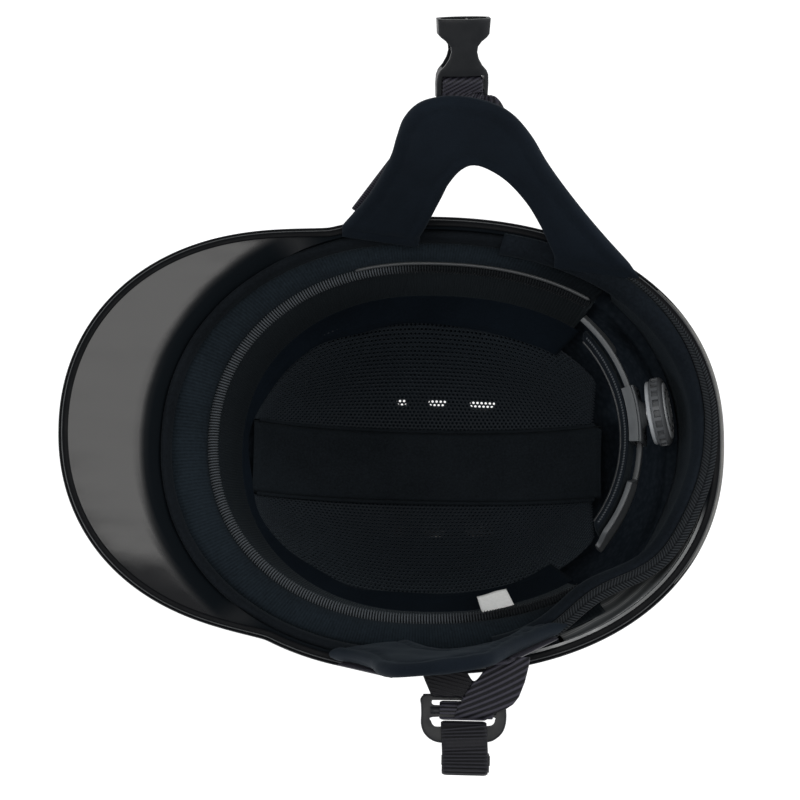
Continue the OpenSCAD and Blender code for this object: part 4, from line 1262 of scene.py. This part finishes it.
def make_dial():
    NN = 20
    ang = []
    for k in range(NN):
        b = k * 2 * pi / NN
        w = 2 * pi / NN
        for q in (0.0, 0.08, 0.17, 0.2, 0.23, 0.5, 0.77, 0.8, 0.83, 0.92):
            ang.append(b + q * w)
    ang = np.array(ang)
    ph = (ang / (2 * pi / NN)) % 1.0
    win = ((ph > 0.19) & (ph < 0.81)).astype(float)

    def notch(depth, r):
        return lambda a: r - depth * win
    rows = [(3.3, 7.2), (14.2, 7.2), (14.9, 7.35), (15.2, 7.8), (15.2, 8.8), (14.9, 9.15), (14.6, 9.3),
            (15.6, 9.5), (16.2, 9.7), (16.5, 10.2), (16.5, 10.55), (notch(1.9, 16.5), 10.6), (notch(1.9, 16.45), 13.6), (16.4, 13.65),
            (16.2, 14.3), (15.7, 14.9), (14.9, 15.4), (14.1, 15.5), (13.9, 15.3), (13.85, 14.62), (0.6, 14.62)]
    # shaft hole at the back, closed by a disc
    o = lathe("dial_rim", rows[:7], M["dial_light"], "dial", n=120, slot="dial_light", sharp=35)
    rows2 = [(3.3, 9.3), (14.6, 9.3)] + rows[7:]
    o = lathe("dial_grip", rows2, M["dial"], "dial", angles=ang, slot="dial_grey", rep=("dial_knob",), sharp=35)
    face = [(0.02, 14.7), (13.6, 14.7), (13.7, 15.3), (13.5, 15.9), (12.9, 16.25), (11.8, 16.35), (11.5, 16.2), (11.2, 16.15), (7.5, 16.3), (7.2, 16.15), (6.9, 16.15), (6.6, 16.32), (3.0, 16.36), (0.02, 16.38)]
    lathe("dial_cap", face, M["dial_light"], "dial", n=96, slot="dial_light", rep=("dial_face",), sharp=35)
    # raised scale: ticks and plain numbers round the cap
    V, F = [], []
    for k in range(24):
        a = k * 2 * pi / 24
        l0, l1, w = (9.9, 11.1, 0.28) if k % 2 else (8.0, 8.6, 0.22)
        c, s = math.cos(a), math.sin(a)
        b = len(V)
        for z in (16.1, 16.42):
            for r, q in ((l0, -w), (l1, -w), (l1, w), (l0, w)):
                V.append((r * c - q * s, r * s + q * c, z))
        F += [(b, b + 3, b + 2, b + 1), (b + 4, b + 5, b + 6, b + 7)] + [(b + i, b + (i + 1) % 4, b + 4 + (i + 1) % 4, b + 4 + i) for i in range(4)]
    mesh("dial_ticks", xf(V, AT_D, AT_O), F, M["buckle"], "dial", slot="dial_grey", sharp=30)
    for k in range(12):
        cu = bpy.data.curves.new("num", "FONT")
        cu.body = str(k + 1)
        cu.size = 0.0026
        cu.extrude = 0.00012
        cu.align_x = cu.align_y = "CENTER"
        tmp = bpy.data.objects.new("num", cu)
        scene.collection.objects.link(tmp)
        bpy.context.view_layer.update()
        me_ = bpy.data.meshes.new_from_object(tmp.evaluated_get(bpy.context.evaluated_depsgraph_get()))
        bpy.data.objects.remove(tmp)
        bpy.data.curves.remove(cu)
        a = k * 2 * pi / 12
        R = rotz(math.degrees(a) + 90)
        co = np.array([v.co for v in me_.vertices]) * 1000
        co = xf(co, R, (9.5 * math.cos(a), 9.5 * math.sin(a), 16.3))
        co = xf(co, AT_D, AT_O) * 0.001
        me_.vertices.foreach_set("co", co.astype(np.float32).ravel())
        me_.update()
        o = bpy.data.objects.new("dial_number_%02d" % (k + 1), me_)
        me_.materials.clear()
        finish_obj(o, M["buckle"], "dial", sharp=30)
    # splined shaft
    n = 96
    a = np.arange(n) * 2 * pi / n
    sp = 3.22 - 0.34 * (np.sin(a * 12) > 0.2)
    rows = []
    for r, z in ((0.02, -0.9), (2.6, -0.9), (2.6, 2.0), (3.2, 2.05)):
        rows.append(np.stack([r * np.cos(a), r * np.sin(a), 0 * a + z], 1))
    for z in (2.1, 5.7, 9.8):
        rows.append(np.stack([sp * np.cos(a), sp * np.sin(a), 0 * a + z], 1))
    rows.append(np.stack([0.02 * np.cos(a), 0.02 * np.sin(a), 0 * a + 9.85], 1))
    P = np.stack(rows, 1)
    tube("dial_shaft", xf(P.reshape(-1, 3), AT_D, AT_O).reshape(P.shape), M["dial"], "dial", closed=True, slot="dial_grey", rep=("pinion_shaft",), sharp=35)


make_dial()

# ------------------------------------------------------------------ harness pads
AX = np.array([-42.6, 100.0, 141.0])
PAD = [(4, -3), (4, 4), (9, 12), (17, 26), (26, 48), (29, 61), (32, 72), (38, 80.5), (46, 85), (55, 87),
       (65, 87), (74, 85), (82, 80), (90, 70.5), (97.5, 58), (106, 46), (117, 32), (129, 18), (141, 5), (148, -4.2), (106, -3.6),
       (105.5, 4), (103, 10), (96.5, 23.5), (89, 35.5), (78.5, 46.5), (67, 51.8), (60, 48.5), (54.2, 39), (50.5, 28.5), (44, 10), (41.5, 4), (41, -3)]


def lefty(lean, mirror=False):
    R = rotz(-8) @ roty(-4) @ rotx(lean)

    def f(u, v, w):
        P = np.stack(np.broadcast_arrays(np.asarray(u, float), np.asarray(v, float), np.asarray(w, float)), -1)
        Q = P @ R.T + AX
        if mirror:
            Q[..., 1] *= -1
        return Q
    return f


def pad_outline(k):
    pts = np.array(PAD, float)
    pts[:, 0] = np.where(pts[:, 0] > 80, 80 + (pts[:, 0] - 80) * k, pts[:, 0])
    pts[:, 1] *= 1.04
    out = []
    n = len(pts)
    hard = {0, 1, 18, 19, 20, 21, 31, 32}
    for i in range(n):
        a, b, c, d = pts[(i - 1) % n], pts[i], pts[(i + 1) % n], pts[(i + 2) % n]
        j = (i + 1) % n
        if i in hard and j in hard:
            k = max(2, int(np.linalg.norm(c - b) / 1.4))
            for q in range(k):
                out.append(b + (c - b) * q / k)
            continue
        if i in hard:
            a = b
        if j in hard:
            d = c
        k = max(2, int(np.linalg.norm(c - b) / 1.4))
        for q in range(k):
            u = q / k
            out.append(0.5 * (2 * b + (c - a) * u + (2 * a - 5 * b + 4 * c - d) * u * u + (3 * b - a - 3 * c + d) * u ** 3))
    return np.array(out)


def make_pad(side, lean, mirror, k):
    fm = lefty(lean, mirror)
    out = pad_outline(k)

    def half(u, v, d, side_):
        r = 2.9
        e = np.clip(d / r, 0, 1)
        h = 3.0 * np.sqrt(np.clip(1 - (1 - e) ** 2, 0, 1))
        # sewn line inside the edge, and the pad swelling between the lines
        h = h - 0.75 * np.exp(-((d - 6.0) / 0.75) ** 2) + 0.35 * sstep(d, 7.0, 11.0)
        h = h * (0.3 + 0.7 * sstep(v, -3, 9))
        h = h + (0.22 * np.sin(u * 0.17 + v * 0.11) + 0.12 * np.sin(u * 0.4 - v * 0.33)) * sstep(d, 0.5, 4.0)
        return h

    o = slab("harness_pad_" + side, out, fm, lambda u, v, d: half(u, v, d, 1), lambda u, v, d: -half(u, v, d, -1),
             M["pad"], None, spacing=1.7, rings=(0.25, 0.7, 1.4, 2.3, 3.4))
    o.data.shade_smooth()
    p0, p1 = fm(60.0, -2.0, 0.0) * 0.001, fm(60.0, 9.0, 0.0) * 0.001
    tuple(p0)
    tuple(p1)
    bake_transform(o)
    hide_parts(side + "_harness_pad")
    return o


make_pad("left", 56.8, False, 1.0)
make_pad("right", 82, True, 0.52)


# ------------------------------------------------------------------ webbing
def leg_path(fm, p, q, w, n=40, v1=None):
    g = np.linspace(0, 1, n)
    u = p[0] + (q[0] - p[0]) * g
    v = p[1] + (q[1] - p[1]) * g
    return fm(u, v, w + 0 * g)


BK = np.array([15.9, 148.5, 207.5])
AF = rotx(30) @ roty(12)


def at_female(P):
    return xf(P, AF, BK)


def make_left_webbing():
    fm = lefty(56.8)
    wv = 4.15
    U = fm(1.0, 0, 0) - fm(0.0, 0, 0)
    for nm, p, q, wid in (("front", (16, 8), (50, 74), 18.5), ("rear", (117, 15), (74, 74), 12.5)):
        P = leg_path(fm, p, q, -wv - (0.0 if nm == "front" else 0.75))
        dirn = np.array([q[0] - p[0], q[1] - p[1]], float)
        dirn /= np.linalg.norm(dirn)
        Wd = fm(dirn[1], -dirn[0], 0) - fm(0, 0, 0)
        strap("left_leg_" + nm, P, Wd, wid, 1.0, M["webbing"], "left_harness", slot="webbing", rep=("left_webbing",) if nm == "front" else ())
    # from the pad's top to the bar, round it and back
    a = fm(71.0, 60.0, -wv - 0.2)
    b = fm(69.0, 70.0, -wv - 0.3)
    b2 = fm(67.5, 78.5, -wv - 0.8)
    # the loop is long enough to fill the buckle's window
    t2, t3 = np.radians(np.linspace(90, -90, 14)), np.radians(np.linspace(-90, -150, 8))
    yz = [(0.0, 2.45), (1.5, 2.45)] + [(4.4 + 2.45 * math.cos(x), 2.45 * math.sin(x)) for x in t2] + [(2.45 * math.cos(x), 2.45 * math.sin(x)) for x in t3]
    loop = at_female(np.array([(0, y, z) for y, z in yz]))
    c = at_female(np.array([[3.6, -5.0, 5.4]]))[0]
    e = at_female(np.array([[0.8, -2.4, 3.0]]))[0]
    P = np.concatenate([[a, b, b2, c, e], loop])
    P = np.concatenate([spline(P[:6], 7), P[6:]])
    xd = at_female(np.array([[1.0, 0, 0]]))[0] - BK
    g = np.clip(np.linspace(0, 1, len(P)) * 2.2, 0, 1)[:, None]
    Wd = U[None] * (1 - g) + xd[None] * g
    strap("left_loop", P, Wd, 18.4, 1.25, M["webbing"], "left_harness", slant=-0.5, pitch=1.7, depth=0.22, slot="webbing")


make_left_webbing()

WZ = 206.0
SB = np.array([22.0, -122.8, 204.4])
LEGS_OUT = [(1.6, -101.5), (49.9, -99.5), (49.5, -102.9), (47.8, -110.1), (45.4, -116.4), (43.0, -119.6), (40.2, -121.5), (37.4, -122.6), (34.9, -123.3), (34.4, -126.2),
            (18.2, -126.2), (18.4, -124.2), (19.4, -121.0), (21.4, -117.6), (20.4, -117.2), (9.0, -117.2), (8.0, -116.4), (5.4, -110.7)]
GAP = [(20.4, -102.0), (34.4, -100.2), (30.6, -105.2), (26.4, -110.2), (23.4, -106.8)]


def densify(pts, step):
    out = []
    n = len(pts)
    for i in range(n):
        a, b = np.array(pts[i], float), np.array(pts[(i + 1) % n], float)
        k = max(1, int(np.linalg.norm(b - a) / step))
        for q in range(k):
            out.append(a + (b - a) * q / k)
    return np.array(out)


def make_right_webbing():
    fm = lefty(82, True)
    wv = 4.15
    U = fm(1.0, 0, 0) - fm(0.0, 0, 0)
    for nm, p, q in (("front", (16, 8), (44, 66)), ("rear", (101.8, 8), (80, 66))):
        P = leg_path(fm, p, q, -wv)
        dirn = np.array([q[0] - p[0], q[1] - p[1]], float)
        dirn /= np.linalg.norm(dirn)
        Wd = fm(dirn[1], -dirn[0], 0) - fm(0, 0, 0)
        strap("right_leg_" + nm, P, Wd, 17.5 if nm == "front" else 15.5, 1.25, M["webbing"], "right_harness", slot="webbing", rep=("right_webbing",) if nm == "front" else ())
    # the two legs come over and meet in a point, their ribs in a chevron
    out = densify(LEGS_OUT, 0.45)
    hole = densify(spline(GAP, 4, closed=True), 0.45)

    def plate(u, v, d):
        # left leg's ribs lean one way, the right leg's the other, and the right leg lies over the left
        xm = 26.2 + (v + 110.2) * 0.64
        la = (v + 0.24 * u) / 1.6
        ra = (v - (0.3 + 0.006 * (v + 126)) * u) / 2.0
        k = sstep(u - xm, -0.4, 0.4)
        rib = 0.55 * np.sin(2 * pi * la) * (1 - k) + np.sin(2 * pi * ra) * k
        edge = np.sqrt(np.clip(1 - (1 - np.clip(d / 0.7, 0, 1)) ** 2, 0, 1))
        sag = -1.1 * np.exp(-((v + 98.4) / 4.0) ** 2)
        return rib, edge, sag

    def top(u, v, d):
        rib, edge, sag = plate(u, v, d)
        return 0.65 * edge + 0.19 * rib * edge + sag

    def bot(u, v, d):
        rib, edge, sag = plate(u, v, d)
        return -0.65 * edge + 0.1 * rib * edge + sag

    def fmap(u, v, h):
        z = WZ + 1.7 + h + 0.7 * sstep(u - (26.2 + (v + 110.2) * 0.64), -0.3, 0.3)
        # the lower end rolls over the slide's bar
        r = 3.95
        q = np.clip((SB[1] + 1.2 - v) / 4.7, 0, 1)
        z = z - (1 - np.sqrt(np.clip(1 - q * q, 0, 1))) * r * 0.9
        return V3(u, v, z)

    o = slab("right_chevron", out, fmap, top, bot, M["webbing"], "right_harness", spacing=0.36, holes=(hole,), rings=(0.2, 0.45), slot="webbing")
    n = len(o.data.vertices)
    co = np.zeros(n * 3, np.float32)
    o.data.vertices.foreach_get("co", co)
    co = co.reshape(-1, 3) * 1000
    rib = plate(co[:, 0], co[:, 1], np.full(n, 2.0))[0]
    # painted shade: the left leg, lying under the right one, is coloured darker
    rib_attr(o, 0.45 + 0.5 * rib - 0.5 * (co[:, 0] < 26.2 + (co[:, 1] + 110.2) * 0.64))
    # loop round the slide's middle bar
    th = np.radians(np.linspace(115, -200, 40))
    P = SB + np.stack([0 * th, 3.35 * np.cos(th), 3.35 * np.sin(th)], 1)
    strap("right_loop", P, (1, 0, 0), 20.4, 1.25, M["webbing"], "right_harness", pitch=1.5, slot="webbing")


make_right_webbing()

# ------------------------------------------------------------------ chin strap
def at_drop(P):
    return xf(P, roty(-1.5), (23, -148.9, 203))


def make_chin():
    P = [(22.2, -127.9, 203.2), (22.2, -128.1, 205.2), (22.2, -129.2, 206.6), (22.4, -131, 206.95), (22.6, -135, 207.0), (22.9, -140, 206.95), (23, -144, 206.95)]
    th = np.radians(np.linspace(90, 8, 12))
    P = np.array(P + [(23, -145.8 - 3.35 * math.cos(x), 203.6 + 3.35 * math.sin(x)) for x in th])
    strap("chin_strap_top", P, (1, 0, 0), 19.5, 1.35, M["tail"], "slide", pitch=1.45, depth=0.17, smooth_zone=(8.5, 13.5), slot="webbing", rep=("chin_strap_upper",))
    # hanging part, in a frame with its bar at z -92
    P = spline(np.array([(0, -0.1, 0.9), (0, 0, -3), (0, 0, -43), (0, 0, -86.6), (0, 0.5, -88.4)]), 6)
    th = np.radians(np.linspace(70, -250, 34))
    lp = np.array([(0, 2.45 * math.cos(x), -92 + 2.45 * math.sin(x)) for x in th])
    P = at_drop(np.concatenate([P[:-1], lp]))
    across = roty(-1.5) @ np.array([1.0, 0, 0])
    strap("chin_strap_drop", P, across, 19.4, 1.3, M["tail"], "chin_strap", pitch=1.45, depth=0.17, slot="webbing", rep=("chin_strap_lower",))
    # the end that comes back up from the bar, sewn down
    back = at_drop(spline(np.array([(0, -1.1, -87.8), (0, -1.35, -84), (0, -1.35, -58)]), 6))
    strap("chin_strap_return", back, across, 19.2, 1.0, M["tail"], "chin_strap", pitch=1.45, depth=0.15, slot="webbing")


make_chin()


# ------------------------------------------------------------------ buckles and slide
FB = [(11.6, -1.6), (11.8, 4), (11.5, 8.1), (10.5, 10.3), (8.3, 12.7), (6.6, 15.6), (5.8, 18.6), (6.1, 21.0), (7.7, 23.0), (10.2, 24.8),
      (11.4, 26.2), (11.85, 33)]
FB = FB + [(-x, y) for x, y in FB[::-1]]


def ident(u, v, w):
    return V3(u, v, w)


def soften(o, width, seg=2, angle=40):
    md = o.modifiers.new("edge", "BEVEL")
    md.width = width
    md.segments = seg
    md.limit_method = "ANGLE"
    md.angle_limit = math.radians(angle)
    md.harden_normals = False
    return o


def place_mesh(o, R, org):
    co = np.array([v.co for v in o.data.vertices]) * 1000
    co = xf(co, R, org) * 0.001
    o.data.vertices.foreach_set("co", co.astype(np.float32).ravel())
    o.data.update()


def make_female():
    out = densify(FB, 0.7)

    def H(u, v):
        return 4.4 * np.sqrt(np.clip(1 - (u / 13.8) ** 2, 0, 1)) ** 0.9 * (1 - 0.22 * (1 - sstep(v, 2, 12)))

    o = slab("buckle_socket", out, ident, lambda u, v, d: H(u, v) - 0.35 * (1 - np.clip(d / 0.5, 0, 1)) ** 2,
             lambda u, v, d: -H(u, v) + 0.35 * (1 - np.clip(d / 0.5, 0, 1)) ** 2, M["buckle"], None, spacing=1.3, rings=(0.25, 0.55))
    # cavity, open at the mouth and through the waist
    cav = densify([(-10.2, 11.4), (10.2, 11.4), (10.2, 35), (-10.2, 35)], 1.2)
    p, tri, d, bound = flat_mesh(cav, 1.4, (), ())
    hh = np.maximum(H(p[:, 0], p[:, 1]) - 1.35, 0.6)
    n = len(p)
    V = np.concatenate([V3(p[:, 0], p[:, 1], hh), V3(p[:, 0], p[:, 1], -hh)])
    F = [tuple(f) for f in tri] + [(f[0] + n, f[2] + n, f[1] + n) for f in tri] + [(b, a, a + n, b + n) for a, b in bound]
    boolean(o, raw("cut", V, F))
    win = prism("cut", densify([(-9.75, -4), (9.75, -4), (9.75, 7.4), (9.2, 8), (-9.2, 8), (-9.75, 7.4)], 3), -8, 8)
    boolean(o, win)
    o.data.shade_smooth()
    o.data.set_sharp_from_angle(angle=math.radians(32))
    place_mesh(o, AF, BK)
    soften(o, 0.00022, 2, 50)
    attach(o, "left_buckle")
    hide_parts("female_buckle")
    # bar and divider rib
    a = np.arange(28) * 2 * pi / 28
    P = np.array([[(x, 1.35 * math.cos(q), 1.35 * math.sin(q)) for q in a] for x in np.linspace(-10.4, 10.4, 5)])
    tube("buckle_bar", at_female(P.reshape(-1, 3)).reshape(P.shape), M["buckle"], "left_buckle", slot="buckle_plastic")
    rib = prism("buckle_rib", [(1.0, 25.5), (2.0, 25.5), (2.0, 32.6), (1.0, 32.6)], -3.3, 3.3, AF, BK)
    rib.data.materials.append(M["buckle"])
    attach(rib, "left_buckle")
    soften(rib, 0.0001)
    return o


make_female()

SL = [(-15.6, -116), (-17.4, -116.7), (-18.5, -118.4), (-18.2, -120.6), (-18, -124.4), (-18, -128.8), (-16.6, -132.6), (-13.4, -135.4), (-9, -136.5),
      (0, -136.3), (9.6, -135.9), (13.8, -134.5), (17, -131.2), (18.3, -126.4), (18, -120.2), (17, -117.4), (14, -116.4), (0, -116.3)]


def make_slide():
    pts = spline([(x + 22, y) for x, y in SL], 5, closed=True)

    def f(u, v, d):
        return 1.5 - 0.75 * (1 - np.sqrt(np.clip(1 - (1 - np.clip(d / 0.9, 0, 1)) ** 2, 0, 1)))

    def fm(u, v, w):
        return V3(u, v, w + 204.4)

    o = slab("slide_plate", pts, fm, f, lambda u, v, d: -f(u, v, d), M["buckle"], None, spacing=1.3, rings=(0.25, 0.6, 1.0))
    lower = [(22 + x, y + 1.6) for x, y in spline([(-13.2, -127.4), (-13.6, -129.2), (-12.4, -131.0), (-10, -131.3), (0, -130.9), (10, -130.6), (12.6, -129.9), (13.4, -128.2), (12.4, -126.9), (0, -127.1)], 4, closed=True)]
    upper = [(22 + x, y + 1.6) for x, y in spline([(-13.4, -120.6), (-13.2, -121.9), (-11, -122.3), (0, -122.2), (11, -122.2), (13.2, -121.8), (13.2, -120.6), (11, -120.2), (-11, -120.2)], 4, closed=True)]
    boolean(o, prism("cut", lower, 190, 220))
    boolean(o, prism("cut", upper, 190, 220))
    o.data.shade_smooth()
    o.data.set_sharp_from_angle(angle=math.radians(40))
    soften(o, 0.0003, 3, 50)
    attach(o, "slide")
    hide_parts("strap_slide")
    a = np.arange(28) * 2 * pi / 28
    P = np.array([[(SB[0] + x, SB[1] + 2.15 * math.cos(q), SB[2] + 2.15 * math.sin(q)) for q in a] for x in np.linspace(-14, 14, 5)])
    tube("slide_bar", P, M["buckle"], "slide", slot="buckle_plastic")
    return o


make_slide()

# ------------------------------------------------------------------ CAD nodes that stay: materials and soft edges
KEEP = {"crown_vent_cap": "gloss", "strap_anchors": "rivet", "anchor_rivets": "rivet", "housing_screws": "rivet", "detent_spring": "steel",
        "male_buckle": "buckle", "prong_front": "buckle", "prong_rear": "buckle"}
for nm, mk in KEEP.items():
    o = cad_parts[nm]
    o.data.materials.clear()
    o.data.materials.append(M[mk])
    soften(o, 0.0004 if mk == "buckle" else 0.0002, 3, 35)

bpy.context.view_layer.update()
